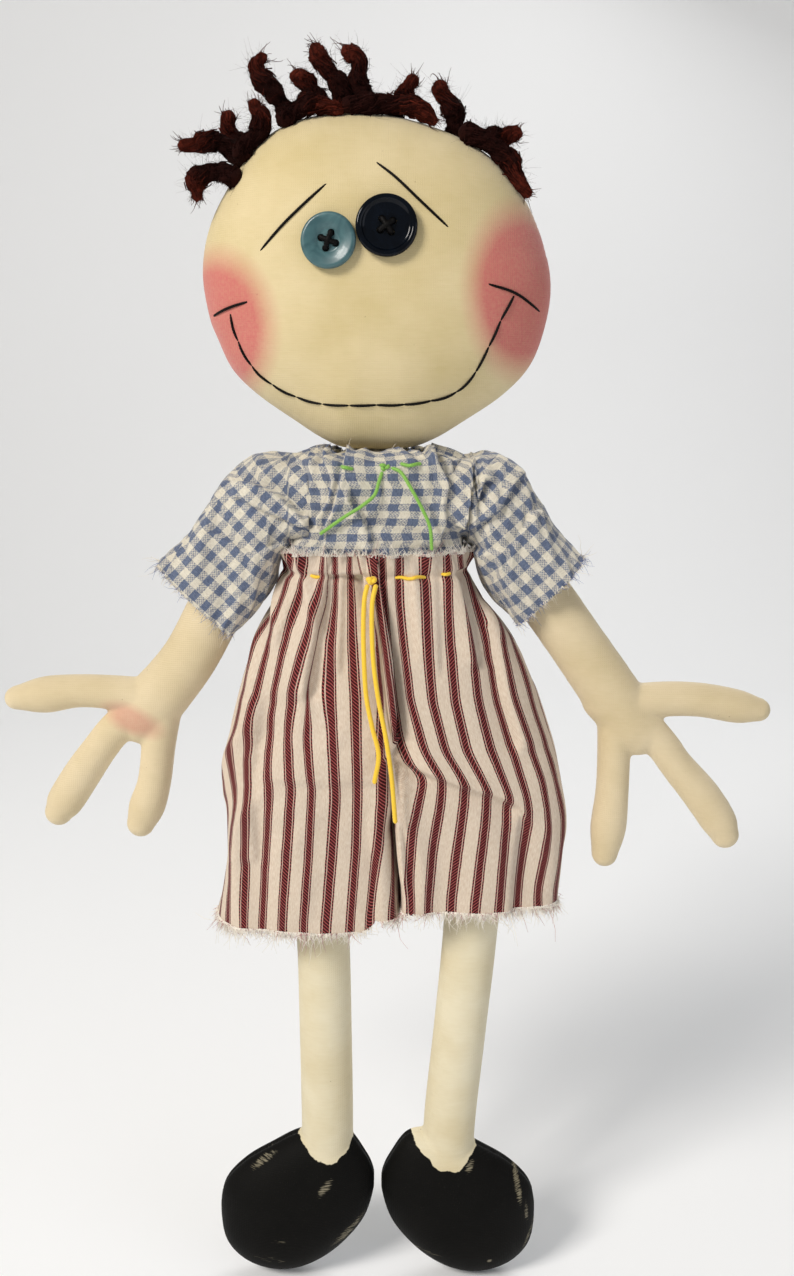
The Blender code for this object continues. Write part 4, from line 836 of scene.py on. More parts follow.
# The legs and feet: muslin tubes sewn to flat paddle feet and stuffed. The feet are brushed with black
# acrylic as far as the ankle, with a ragged edge, and the paint is scuffed through to the cloth.
FOOT_WIDTH, FOOT_HEIGHT, FOOT_THICKNESS = 0.068, 0.068, 0.030
FOOT_RIM_SHARES = [
    (0.98, 0.10), (1.00, 0.40), (0.88, 0.68), (0.66, 0.98), (0.34, 1.02), (0.02, 0.97),
    (-0.30, 0.80), (-0.68, 0.56), (-0.95, 0.24), (-1.00, -0.18), (-0.93, -0.58),
    (-0.68, -0.86), (-0.30, -0.99), (0.10, -0.93), (0.50, -0.68), (0.84, -0.28),
]
FOOT_MIDDLES = {"left": (0.0345, 0.0330), "right": (-0.0360, 0.0340)}
LEG_STATIONS = {
    "left": [(0.0230, 0.2700, 0.0220, 0.0220), (0.0230, 0.2620, 0.0240, 0.0215),
             (0.0410, 0.2100, 0.0240, 0.0210), (0.0385, 0.1600, 0.0230, 0.0210),
             (0.0345, 0.1150, 0.0225, 0.0210), (0.0305, 0.0720, 0.0225, 0.0210),
             (0.0305, 0.0500, 0.0220, 0.0200)],
    "right": [(-0.0230, 0.2700, 0.0220, 0.0220), (-0.0230, 0.2620, 0.0240, 0.0215),
              (-0.0260, 0.2100, 0.0240, 0.0210), (-0.0235, 0.1600, 0.0225, 0.0210),
              (-0.0228, 0.1150, 0.0225, 0.0210), (-0.0225, 0.0720, 0.0225, 0.0210),
              (-0.0228, 0.0500, 0.0220, 0.0200)],
}
# Where the paint stops on the ankle: the height of its lowest point, and its rise to each side.
PAINT_EDGES = {"left": (0.0565, 0.0305), "right": (0.0605, -0.0222)}


def painted_muslin(name, edge_height, ankle_x):
    """Muslin under black acrylic: the paint is thin, matt and brushed, so the weave shows in it, and
    it is rubbed back to the cloth in streaks. It stops at a ragged line on the ankle."""
    material = plain_muslin.copy()
    material.name = name
    tree = material.node_tree
    shader = tree.nodes["Principled BSDF"]
    cloth = shader.inputs["Base Color"].links[0].from_socket
    place = object_place(tree)
    parts = node(tree, "ShaderNodeSeparateXYZ", {"Vector": place}).outputs
    ragged = rescale(tree, noise(tree, place, 190.0, 3.0), 0.0, 1.0, -0.0028, 0.0028)
    aside = calc(tree, "ABSOLUTE", calc(tree, "ADD", parts["X"], -ankle_x))
    aside = calc(tree, "MAXIMUM", calc(tree, "SUBTRACT", aside, 0.0040), 0.0)
    edge = calc(tree, "MULTIPLY_ADD", aside, 0.95, edge_height - HANG_POINT[2] - 0.0018)
    below = calc(tree, "SUBTRACT", calc(tree, "ADD", edge, ragged), parts["Z"])
    brush = noise(tree, place, 1.0, 4.0, (260.0, 300.0, 2400.0), 35)
    wear_and_highlight = rescale(tree, calc(tree, "MULTIPLY", kept_number(tree, "scuff"), brush), 0.36, 0.60, 0.0, 0.42)
    paint = calc(tree, "MULTIPLY", rescale(tree, below, 0.0, 0.0004), calc(tree, "SUBTRACT", 1.0, wear_and_highlight))
    black = blend_colours(tree, noise(tree, place, 55.0, 3.0), linear("#070706"), linear("#11100e"))
    tree.links.new(blend_colours(tree, paint, cloth, black), shader.inputs["Base Color"])
    tree.links.new(rescale(tree, paint, 0.0, 1.0, 0.92, 0.62), shader.inputs["Roughness"])
    tree.links.new(rescale(tree, paint, 0.0, 1.0, 0.25, 0.0), shader.inputs["Sheen Weight"])
    shader.inputs["Specular IOR Level"].default_value = 0.09
    return material


# Where the paint is scuffed: each patch's middle, its half length and half width, its lean in
# degrees, and how bare it is.
SCUFFS = {
    "left": [(0.0600, 0.0450, 0.0080, 0.0014, 100, 1), (0.0655, 0.0200, 0.0100, 0.0010, 70, 0.85),
             (0.0390, 0.0560, 0.0026, 0.0016, 60, 1), (0.0180, 0.0145, 0.0110, 0.0012, -10, 0.75),
             (0.0480, 0.0110, 0.0012, 0.0010, 0, 1), (0.0640, 0.0330, 0.0050, 0.0010, 95, 0.9)],
    "right": [(-0.0232, 0.0480, 0.0048, 0.0020, 50, 0.9), (-0.0135, 0.0240, 0.0110, 0.0022, 45, 0.9),
              (-0.0500, 0.0565, 0.0085, 0.0014, 35, 0.85), (-0.0470, 0.0120, 0.0100, 0.0030, -8, 0.66),
              (-0.0440, 0.0230, 0.0060, 0.0020, -5, 0.66)],
}
for side in ("left", "right"):
    foot_shares = FOOT_RIM_SHARES if side == "right" else [(-x, z) for x, z in FOOT_RIM_SHARES]
    foot_rim = rim_of(foot_shares, FOOT_WIDTH / 2, FOOT_HEIGHT / 2)
    foot_form = pad(foot_rim, FOOT_THICKNESS / 2, (FOOT_MIDDLES[side][0], 0, FOOT_MIDDLES[side][1]),
                    160, 70, 60, 0.01)
    edge_height, ankle_x = PAINT_EDGES[side]
    painted = painted_muslin("black_acrylic_on_muslin_" + side, edge_height, ankle_x)
    leg_forms = [stuffed_tube(LEG_STATIONS[side]), foot_form]
    leg, leg_places = stuffed("leg_" + side + "_muslin", leg_forms, painted, 8)
    scuff = np.zeros(len(leg_places))
    for middle_x, middle_z, reach, width, lean_degrees, bare in SCUFFS[side]:
        across, upward = leg_places[:, 0] - middle_x, leg_places[:, 2] - middle_z
        cosine, sine = math.cos(math.radians(lean_degrees)), math.sin(math.radians(lean_degrees))
        lengthways, sideways = across * cosine + upward * sine, upward * cosine - across * sine
        far = np.hypot(lengthways / reach, sideways / width)
        scuff = np.maximum(scuff, bare * np.clip(1.3 - 0.6 * far, 0, 1) * (leg_places[:, 1] < 0.004))
    mark(leg, "scuff", scuff)
    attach(leg, "leg_" + side)
    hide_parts("leg_" + side, "foot_" + side)


# The shirt: checked cotton homespun, cut with straight sleeves. Its neck is turned down, run with
# green floss and drawn up into ruffles, and its raw edges are left to fray.
SHIRT_TAIL, SHIRT_SHOULDER, SHIRT_NECK = 0.3165, 0.3570, 0.3610
SHIRT_HALF_WIDTH, SHIRT_DEPTH, NECK_OPENING_WIDTH, NECK_OPENING_DEPTH = 0.0333, 0.042, 0.040, 0.025
SHOULDER_HEIGHT, ARMHOLE_RADIUS, BOX_SHARE = 0.338, 0.008, 2.8
CLOTH_THICKNESS = 0.0006
CHECK_WIDTH, CHECK_HEIGHT = 0.0079, 0.0058
DRAWN_THREAD = 0.0006  # the gingham's threads as drawn, wider than real ones so that they still show
FOLD_END_LENGTH = 0.006
SHIRT_ROWS, NECK_ROWS, SHIRT_COLUMNS = 64, 14, 320
SHIRT_FLAT_SIZE = (0.204, 0.048)
# The shirt's folds, as lines sideways and up in millimetres, and the rise and width of each.
SHIRT_FOLDS = [
    ([(-20.3, 358), (-18.4, 354), (-17.0, 350), (-18.7, 342), (-23.0, 336)], 0.0009, 0.0045),
    ([(-11.7, 360), (-13.3, 350), (-15.6, 341), (-18.7, 334), (-19.6, 328)], 0.0012, 0.0060),
    ([(-10.0, 343), (-5.5, 337), (-3.2, 332), (-1.7, 326)], -0.0011, 0.0045),
    ([(22.0, 358), (25.5, 350), (25.8, 343), (25.1, 335), (24.0, 328)], -0.0012, 0.0040),
    ([(18.1, 361), (21.0, 354), (23.6, 347), (22.8, 337)], 0.0008, 0.0035),
]
SHIRT_BACK_FOLDS = [([(-9, 358), (-13, 322)], 0.0007, 0.0060), ([(7, 358), (14, 320)], -0.0007, 0.0060)]


def cloth_place(tree, wobble):
    """The cloth's own two directions in metres, which wander a little, and both as one steady vector."""
    flat = node(tree, "ShaderNodeUVMap", uv_map="cloth").outputs[0]
    wandering = node(tree, "ShaderNodeTexNoise", {"Vector": flat, "Scale": 160.0, "Detail": 2.0})
    wander = wandering.outputs["Color"]
    moved = node(tree, "ShaderNodeVectorMath", {0: wander, 1: (wobble, wobble, 0), 2: flat},
                 operation="MULTIPLY_ADD").outputs[0]
    parts = node(tree, "ShaderNodeSeparateXYZ", {"Vector": moved}).outputs
    return parts["X"], parts["Y"], flat


def sine_ridge(tree, turns):
    """A row of round ridges: |sin(pi t)| for a number of turns t."""
    return calc(tree, "ABSOLUTE", calc(tree, "SINE", calc(tree, "MULTIPLY", turns, math.pi)))


def gingham(name):
    """Plain-weave check: half of each repeat is blue in the warp and half in the weft, so both cross in
    solid squares and one alone gives a speckled square. A checker of threads says which of the two
    lies on top."""
    material, tree, shader = new_material(name, Roughness=0.92, Sheen_Weight=0.25)
    u, v, flat = cloth_place(tree, 0.0008)
    checks = (calc(tree, "DIVIDE", way, repeat) for way, repeat in ((u, CHECK_WIDTH), (v, CHECK_HEIGHT)))
    warp_blue, weft_blue = (calc(tree, "LESS_THAN", calc(tree, "FRACT", check), 0.5) for check in checks)
    number_u, number_v = (calc(tree, "FLOOR", calc(tree, "DIVIDE", way, DRAWN_THREAD)) for way in (u, v))
    halves = calc(tree, "MULTIPLY", calc(tree, "ADD", number_u, number_v), 0.5)
    parity = calc(tree, "MULTIPLY", calc(tree, "FRACT", halves), 2.0)
    slub = calc(tree, "SUBTRACT", noise(tree, flat, 1.0, 3.0, (700.0, 1700.0, 1.0)), 0.5)
    weft_on_top = calc(tree, "MULTIPLY_ADD", calc(tree, "SUBTRACT", parity, 0.5), 0.34,
                       calc(tree, "MULTIPLY_ADD", slub, 1.3, 0.5))
    weft_on_top = rescale(tree, weft_on_top, 0.1, 0.9)
    blue_here = node(tree, "ShaderNodeMix", {"Factor": weft_on_top, 2: warp_blue, 3: weft_blue}).outputs[0]
    shade = rescale(tree, noise(tree, flat, 1.0, 3.0, (2200.0, 700.0, 1.0)), 0.3, 0.7)
    blue = blend_colours(tree, shade, linear("#475370"), linear("#6c788f"))
    cream = blend_colours(tree, shade, linear("#cdc5b3"), linear("#e4decd"))
    tree.links.new(blend_colours(tree, blue_here, cream, blue), shader.inputs["Base Color"])
    ridge_u, ridge_v = (sine_ridge(tree, calc(tree, "DIVIDE", way, DRAWN_THREAD)) for way in (u, v))
    weave = node(tree, "ShaderNodeMix", {"Factor": parity, 2: ridge_u, 3: ridge_v}).outputs[0]
    height = calc(tree, "MULTIPLY_ADD", noise(tree, flat, 210.0, 4.0), 5.0, weave)
    relief(tree, shader, height, 0.55, 0.00022)
    return material


def frayed_threads(name, light, dark):
    """Loose cotton threads, each between two colours by the number kept on it."""
    material, tree, shader = new_material(name, Roughness=0.9, Sheen_Weight=0.3)
    colour = blend_colours(tree, kept_number(tree, "tip"), linear(light), linear(dark))
    tree.links.new(colour, shader.inputs["Base Color"])
    return material


def fold(across, height, line, rise, width, jump=0.0004):
    """How far a tuck lifts the cloth. With d the distance across from the tuck's line, which is in
    millimetres, it is 2.4 rise tanh(d / jump) exp(-|d| / width), so the cloth stands up on one side and
    dips on the other, and it dies away beyond the two ends of its line."""
    line = np.array(line, float) / 1000
    order = np.argsort(line[:, 1])
    away = across - np.interp(height, line[order, 1], line[order, 0])
    low, high = line[:, 1].min(), line[:, 1].max()
    there = (np.clip((height - low) / FOLD_END_LENGTH + 1, 0, 1)
             * np.clip((high - height) / FOLD_END_LENGTH + 1, 0, 1))
    there = there * there * (3 - 2 * there)
    return 2.4 * rise * np.tanh(away / jump) * np.exp(-np.abs(away) / width) * there


def crumple(across, along, width, length, seed):
    """Soft random creases. Numbers on a lattice of cells width by length are joined smoothly by
    p^2 (3 - 2p) in each direction to n, and the crease is 1 - 2 sqrt(n^2 + 0.02)."""
    size = 97
    numbers = np.random.default_rng(seed).uniform(-1, 1, (size, size))
    u, v = across / width, along / length
    low_u, low_v = np.floor(u).astype(int), np.floor(v).astype(int)
    part_u, part_v = (part * part * (3 - 2 * part) for part in (u - low_u, v - low_v))
    near, beyond = (numbers[low_u % size, row % size] * (1 - part_u)
                    + numbers[(low_u + 1) % size, row % size] * part_u for row in (low_v, low_v + 1))
    return 1 - 2 * np.sqrt((near * (1 - part_v) + beyond * part_v) ** 2 + 0.02)


def raise_cloth(places, lift):
    """Moves every place of a closed grid along the surface's own outward normal by its lift."""
    across = np.roll(places, -1, axis=1) - np.roll(places, 1, axis=1)
    normal = unit(np.cross(across, np.gradient(places, axis=0)))
    outward = places - places.mean(axis=1, keepdims=True)
    if (normal * outward).sum() < 0:
        normal = -normal
    return places + normal * lift[..., None]


def cloth_piece(name, places, material, uv, keep=None):
    """A garment piece from its grid of places, given its thickness inwards."""
    made = surface(name, places, material, wrap=True, uv=uv, keep=keep)
    solid = made.modifiers.new("cloth thickness", "SOLIDIFY")
    solid.thickness, solid.offset = CLOTH_THICKNESS, -1
    return made


def distance_along(places, axis):
    """The distance along each row or column of a grid, from nought."""
    steps = np.linalg.norm(np.diff(places, axis=axis), axis=2)
    first = [(0, 0), (0, 0)]
    first[axis] = (1, 0)
    return np.pad(np.cumsum(steps, axis=axis), first)


blue_gingham = gingham("blue_gingham_cotton")
gingham_threads = frayed_threads("frayed_gingham_threads", "#e9e0d0", "#5c6fa6")
shirt_heights = np.append(np.linspace(SHIRT_TAIL, SHIRT_SHOULDER, SHIRT_ROWS),
                          np.full(NECK_ROWS, SHIRT_SHOULDER))
neck_share = np.append(np.zeros(SHIRT_ROWS), np.linspace(1 / NECK_ROWS, 1, NECK_ROWS))[:, None]
turn = np.linspace(0, 2 * math.pi, SHIRT_COLUMNS + 1)[None, :-1]
shoulder = np.clip((shirt_heights - 0.3500) / 0.007, 0, 1)[:, None]
half_depth = (SHIRT_DEPTH / 2 * (1 - 0.06 * shoulder) * (1 - neck_share)
              + NECK_OPENING_DEPTH / 2 * 1.1 * neck_share)
half_wide = SHIRT_HALF_WIDTH + (NECK_OPENING_WIDTH / 2 * 1.06 - SHIRT_HALF_WIDTH) * neck_share
shirt_z = shirt_heights[:, None] + (SHIRT_NECK - SHIRT_SHOULDER) * np.sin(neck_share * math.pi / 2)
shirt_places = np.stack([
    half_wide * np.sign(np.cos(turn)) * np.abs(np.cos(turn)) ** (2 / BOX_SHARE),
    half_depth * np.sign(np.sin(turn)) * np.abs(np.sin(turn)) ** (2 / BOX_SHARE),
    shirt_z + 0 * turn], axis=2)
shirt_x, shirt_y, shirt_z = shirt_places[..., 0], shirt_places[..., 1], shirt_places[..., 2]
front, back = np.clip(-shirt_y / 0.012, 0, 1), np.clip(shirt_y / 0.012, 0, 1)
lift = sum(fold(shirt_x, shirt_z, *tuck) for tuck in SHIRT_FOLDS) * front
lift = lift + sum(fold(shirt_x, shirt_z, *tuck) for tuck in SHIRT_BACK_FOLDS) * back
gathers = np.cos(19 * turn + 0.7) * 0.6 + np.cos(31 * turn + 2.0) * 0.4 + 0.3 * np.cos(7 * turn)
gathered = np.clip((shirt_z - 0.338) / 0.022, 0, 1) ** 1.5
lift = lift + 0.0013 * gathers * gathered * (0.35 + 0.65 * (1 - front * 0.5))
lift = lift + 0.0006 * np.cos(5 * turn + 260 * shirt_z)
bent = 0.0030 * np.sin(shirt_z * 190) + turn * 0.032
lift = lift + 0.0016 * crumple(bent, shirt_z + 0.1 * bent, 0.012, 0.030, 3) * (1 - neck_share)
lift = lift + 0.0005 * crumple(bent + shirt_z, shirt_z, 0.006, 0.010, 4) * (1 - neck_share)
shirt_places = raise_cloth(shirt_places, lift)
shirt_places[..., 2] += neck_share**3 * 0.0008 * np.cos(13 * turn + 2 * np.cos(3 * turn))
wrapped = np.concatenate([shirt_places, shirt_places[:, :1]], axis=1)
round_distance = distance_along(wrapped, 1)
up_distance = distance_along(wrapped, 0).mean(axis=1)[:, None]
shirt_uv = np.stack([round_distance * SHIRT_FLAT_SIZE[0] / round_distance[:, -1:] + 0.0021,
                     np.broadcast_to(up_distance, round_distance.shape)], axis=2)
middle = (shirt_places + np.roll(shirt_places, -1, axis=1))[:-1] / 2
clear = ~((np.hypot(middle[..., 1], middle[..., 2] - SHOULDER_HEIGHT) < ARMHOLE_RADIUS)
          & (np.abs(middle[..., 0]) > SHIRT_HALF_WIDTH / 2))
shirt = cloth_piece("shirt_body_gingham", shirt_places, blue_gingham, shirt_uv, clear)
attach(shirt, "torso")
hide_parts("shirt_body")


def fringe(name, edge, way, length, count, body, material, scatter, dark_share=0.4,
           thickness=0.00013):
    """Threads that have worked loose along a raw edge: each starts on the edge, runs roughly the given
    way and curls, and most are short while a few are long."""
    picked = chance.uniform(0, len(edge) - 1.001, count)
    low = picked.astype(int)
    part = (picked - low)[:, None]
    roots = edge[low] * (1 - part) + edge[low + 1] * part
    ways = unit(np.array(way) + chance.normal(size=(count, 3)) * scatter)
    lengths = length * (0.4 + chance.gamma(2.0, 0.33, count))
    tint = (chance.uniform(size=count) < dark_share).astype(float)
    made = fibres(name, roots - ways * 0.0008, ways, lengths, thickness, 0.30, material, tint)
    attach(made, body)
    return made


neck_edge = np.concatenate([shirt_places[-1], shirt_places[-1, :1]])
neck_fringe = fringe("neck_fringe", neck_edge, (0, 0, 1), 0.0011, 260, "torso",
                     gingham_threads, 0.5)


# The sleeves: the same gingham, each a wide straight tube that falls over the upper arm. Folds run
# out from the armpit, and the hem is raw and frayed.
SLEEVE_TOP_HEIGHT = 0.3585
SLEEVE_REACHES = {"left": 0.0470, "right": 0.0520}
SLEEVE_DROPS = {"left": 0.0640, "right": 0.0680}
SLEEVE_ROOT_DEPTH, SLEEVE_HEM_DEPTH, SLEEVE_INSET = 0.0360, 0.0300, 0.0080
SLEEVE_ROWS, INSET_ROWS, SLEEVE_COLUMNS = 90, 12, 240
STRAY_COLUMNS = [-4, -2, 0, 2, 4]  # the columns about the hem's upper corner, where long threads hang out
SLEEVE_UPPER_SHARES = [(0, 0), (0.24, 0), (0.46, 0.10), (0.62, 0.27), (0.79, 0.47), (1.0, 0.63)]
SLEEVE_LOWER_SHARES = [(0, 0.49), (0.09, 0.57), (0.16, 0.74), (0.29, 0.89), (0.46, 1.03)]
# The sleeves' folds, as lines outwards from the middle and up in millimetres, and each one's rise and
# width.
SLEEVE_FOLDS = {
    "left": [([(34.5, 333), (38.5, 342), (41.0, 350), (37.0, 356)], 0.0013, 0.0040),
             ([(35.0, 331), (46.0, 338), (54.0, 350)], 0.0007, 0.0060),
             ([(38.0, 322), (52.0, 325), (60.0, 338)], -0.0006, 0.0070)],
    "right": [([(28.0, 336), (37.0, 345), (47.0, 349), (53.0, 349.5)], -0.0012, 0.0050),
              ([(30.0, 333), (42.0, 338), (52.0, 343)], 0.0006, 0.0050),
              ([(36.0, 326), (48.0, 322), (62.0, 330)], -0.0005, 0.0080)],
}
for side, sign in (("left", 1), ("right", -1)):
    size = np.array([SLEEVE_REACHES[side], -SLEEVE_DROPS[side]])
    start = np.array([SHIRT_HALF_WIDTH + 0.0006, SLEEVE_TOP_HEIGHT])
    inset = np.linspace(1, 0, INSET_ROWS, endpoint=False)[:, None]
    upper, lower = (start + size * smooth_line(shares, SLEEVE_ROWS)
                    for shares in (SLEEVE_UPPER_SHARES, SLEEVE_LOWER_SHARES))
    upper, lower = (np.vstack([line[0] - inset * (SLEEVE_INSET, 0), line]) for line in (upper, lower))
    share = np.clip(np.linspace(-0.13, 1, len(upper)), 0, 1)[:, None]
    turn = np.linspace(0, 2 * math.pi, SLEEVE_COLUMNS + 1)[None, :-1]
    deep = (SLEEVE_ROOT_DEPTH + share * (SLEEVE_HEM_DEPTH - SLEEVE_ROOT_DEPTH)) / 2
    deep = deep - 0.0004 * np.clip(np.linspace(1, -7, len(upper)), 0, 1)[:, None]
    up = np.sign(np.cos(turn)) * np.abs(np.cos(turn)) ** (2 / BOX_SHARE)
    y = deep * np.sign(np.sin(turn)) * np.abs(np.sin(turn)) ** (2 / BOX_SHARE)
    place = ((upper + lower) / 2)[:, None] + up[..., None] * ((upper - lower) / 2)[:, None]
    places = np.stack([place[..., 0], y, place[..., 1]], axis=2)
    front = np.clip(-places[..., 1] / 0.009, -1, 1)
    lift = sum(fold(places[..., 2], places[..., 0], [(z, x) for x, z in line], rise, width)
               for line, rise, width in SLEEVE_FOLDS[side]) * np.abs(front)
    waves = np.cos(5 * turn + 2.2 * share * 3) * 0.6 + np.cos(3 * turn - 4 * share + sign) * 0.6
    lift = lift + 0.0010 * waves * np.clip(share * 2.5, 0, 1)
    opened = (turn - math.pi) * 0.020 * (0.5 + share)
    lift = lift + 0.0014 * crumple(opened + 0.012 * share, share * 0.06, 0.0085, 0.030, 5 + sign)
    lift = lift + 0.0004 * crumple(opened, share * 0.06 + 0.5 * opened, 0.007, 0.009, 8 + sign)
    places = raise_cloth(places, lift)
    axis = unit(upper[-1] + lower[-1] - upper[INSET_ROWS] - lower[INSET_ROWS])
    wrapped = np.concatenate([places, places[:, :1]], axis=1)
    u = wrapped[..., 0] * axis[0] + wrapped[..., 2] * axis[1]
    over = -wrapped[..., 0] * axis[1] + wrapped[..., 2] * axis[0]
    steps = np.hypot(np.diff(over, axis=1), np.diff(wrapped[..., 1], axis=1))
    round_distance = np.pad(np.cumsum(steps, axis=1), [(0, 0), (1, 0)])
    mid_front = SLEEVE_COLUMNS * 3 // 4
    v = over[:, mid_front, None] + (round_distance - round_distance[:, mid_front, None])
    places[..., 0] *= sign
    sleeve = cloth_piece("sleeve_" + side + "_gingham", places, blue_gingham, np.stack([u, v], axis=2))
    hem = np.concatenate([places[-1], places[-1, :1]])
    threads = fringe("sleeve_" + side + "_fringe", hem, (sign * axis[0], 0, axis[1]), 0.0022, 420,
                     "arm_" + side, gingham_threads, 0.4)
    corner = places[-1, STRAY_COLUMNS]
    strays = fringe("sleeve_" + side + "_strays", corner, (sign * 0.9, 0, 0.15), 0.0060, 9,
                    "arm_" + side, gingham_threads, 0.5, 0.3)
    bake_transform(sleeve)
    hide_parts("sleeve_" + side)


# The trousers: striped cotton ticking in two halves, sewn to each other down the middle, gathered on
# a yellow thread just under the raw waist edge. A pleat stands down the front seam, other tucks
# run down from the gathers, and the doll's left leg has a sharp crease at the knee.
WAIST_HEIGHT, CROTCH_SEAM_HEIGHT, CUFF_HEIGHT = 0.3135, 0.252, 0.168
STRIPE_PERIOD, BAND_HALF_WIDTH, LINE_FROM_MIDDLE, LINE_HALF_WIDTH = 0.009, 0.00120, 0.00178, 0.00028
STROKE_PERIOD, STROKE_SHARE, TWILL_PERIOD = 0.0014, 0.66, 0.00075
# How deep the groove beside the front pleat is and how far the pleat stands off, and how far and from
# which height down the right hem's inner corner is raised.
GROOVE_DEPTH, PLEAT_RISE = 0.0036, 0.0016
HEM_CORNER_RISE, HEM_CORNER_TOP = 0.0055, 0.205
# Each half's outline from the waist down: height, outer edge, inner edge and depth.
TROUSER_OUTLINES = {
    "left": [(0.3225, 0.0352, 0, 0.0455), (0.3180, 0.0344, 0, 0.0448), (0.3135, 0.0342, 0, 0.0444),
             (0.3060, 0.0385, 0, 0.0460), (0.2960, 0.0460, 0, 0.0480), (0.2830, 0.0560, 0, 0.0490),
             (0.2680, 0.0640, 0, 0.0500), (0.2520, 0.0695, 0, 0.0500), (0.2400, 0.0730, 0.0028, 0.0490),
             (0.2240, 0.0755, 0.0066, 0.0480), (0.2080, 0.0760, 0.0090, 0.0460),
             (0.1920, 0.0745, 0.0102, 0.0440), (0.1765, 0.0729, 0.0110, 0.0424)],
    "right": [(0.3225, 0.0355, 0, 0.0455), (0.3180, 0.0344, 0, 0.0448), (0.3135, 0.0342, 0, 0.0444),
              (0.3060, 0.0385, 0, 0.0460), (0.2960, 0.0440, 0, 0.0480), (0.2830, 0.0500, 0, 0.0490),
              (0.2680, 0.0550, 0, 0.0500), (0.2520, 0.0590, 0, 0.0500), (0.2400, 0.0610, 0.0010, 0.0490),
              (0.2240, 0.0632, -0.0052, 0.0480), (0.2080, 0.0640, -0.0078, 0.0460),
              (0.1920, 0.0645, -0.0092, 0.0440), (0.1680, 0.0674, -0.0102, 0.0421)],
}
INNER_BULGES = {"left": 0.0030, "right": 0.0110}
# A grid's columns run over the front, the back and the inner wall, outwards from the middle and round.
TROUSER_GRID_ROWS, FRONT_COLUMNS, OUTER_COLUMNS, WALL_COLUMNS = 146, 170, 300, 60
OUTER_TURN = np.append(np.linspace(0, math.pi / 2, FRONT_COLUMNS),
                       np.linspace(math.pi / 2, math.pi, OUTER_COLUMNS - FRONT_COLUMNS + 1)[1:])
WALL_TURN = np.linspace(math.pi, 0, WALL_COLUMNS + 2)[1:-1]
COLUMNS = np.arange(OUTER_COLUMNS + WALL_COLUMNS)
IS_FRONT, IS_OUTSIDE = COLUMNS < FRONT_COLUMNS, COLUMNS < OUTER_COLUMNS
# How far a column faces forwards or backwards, from 1 near the middle to 0 at the side.
FACING = np.append(np.abs(np.cos(OUTER_TURN)) ** 0.5, np.zeros(WALL_COLUMNS))
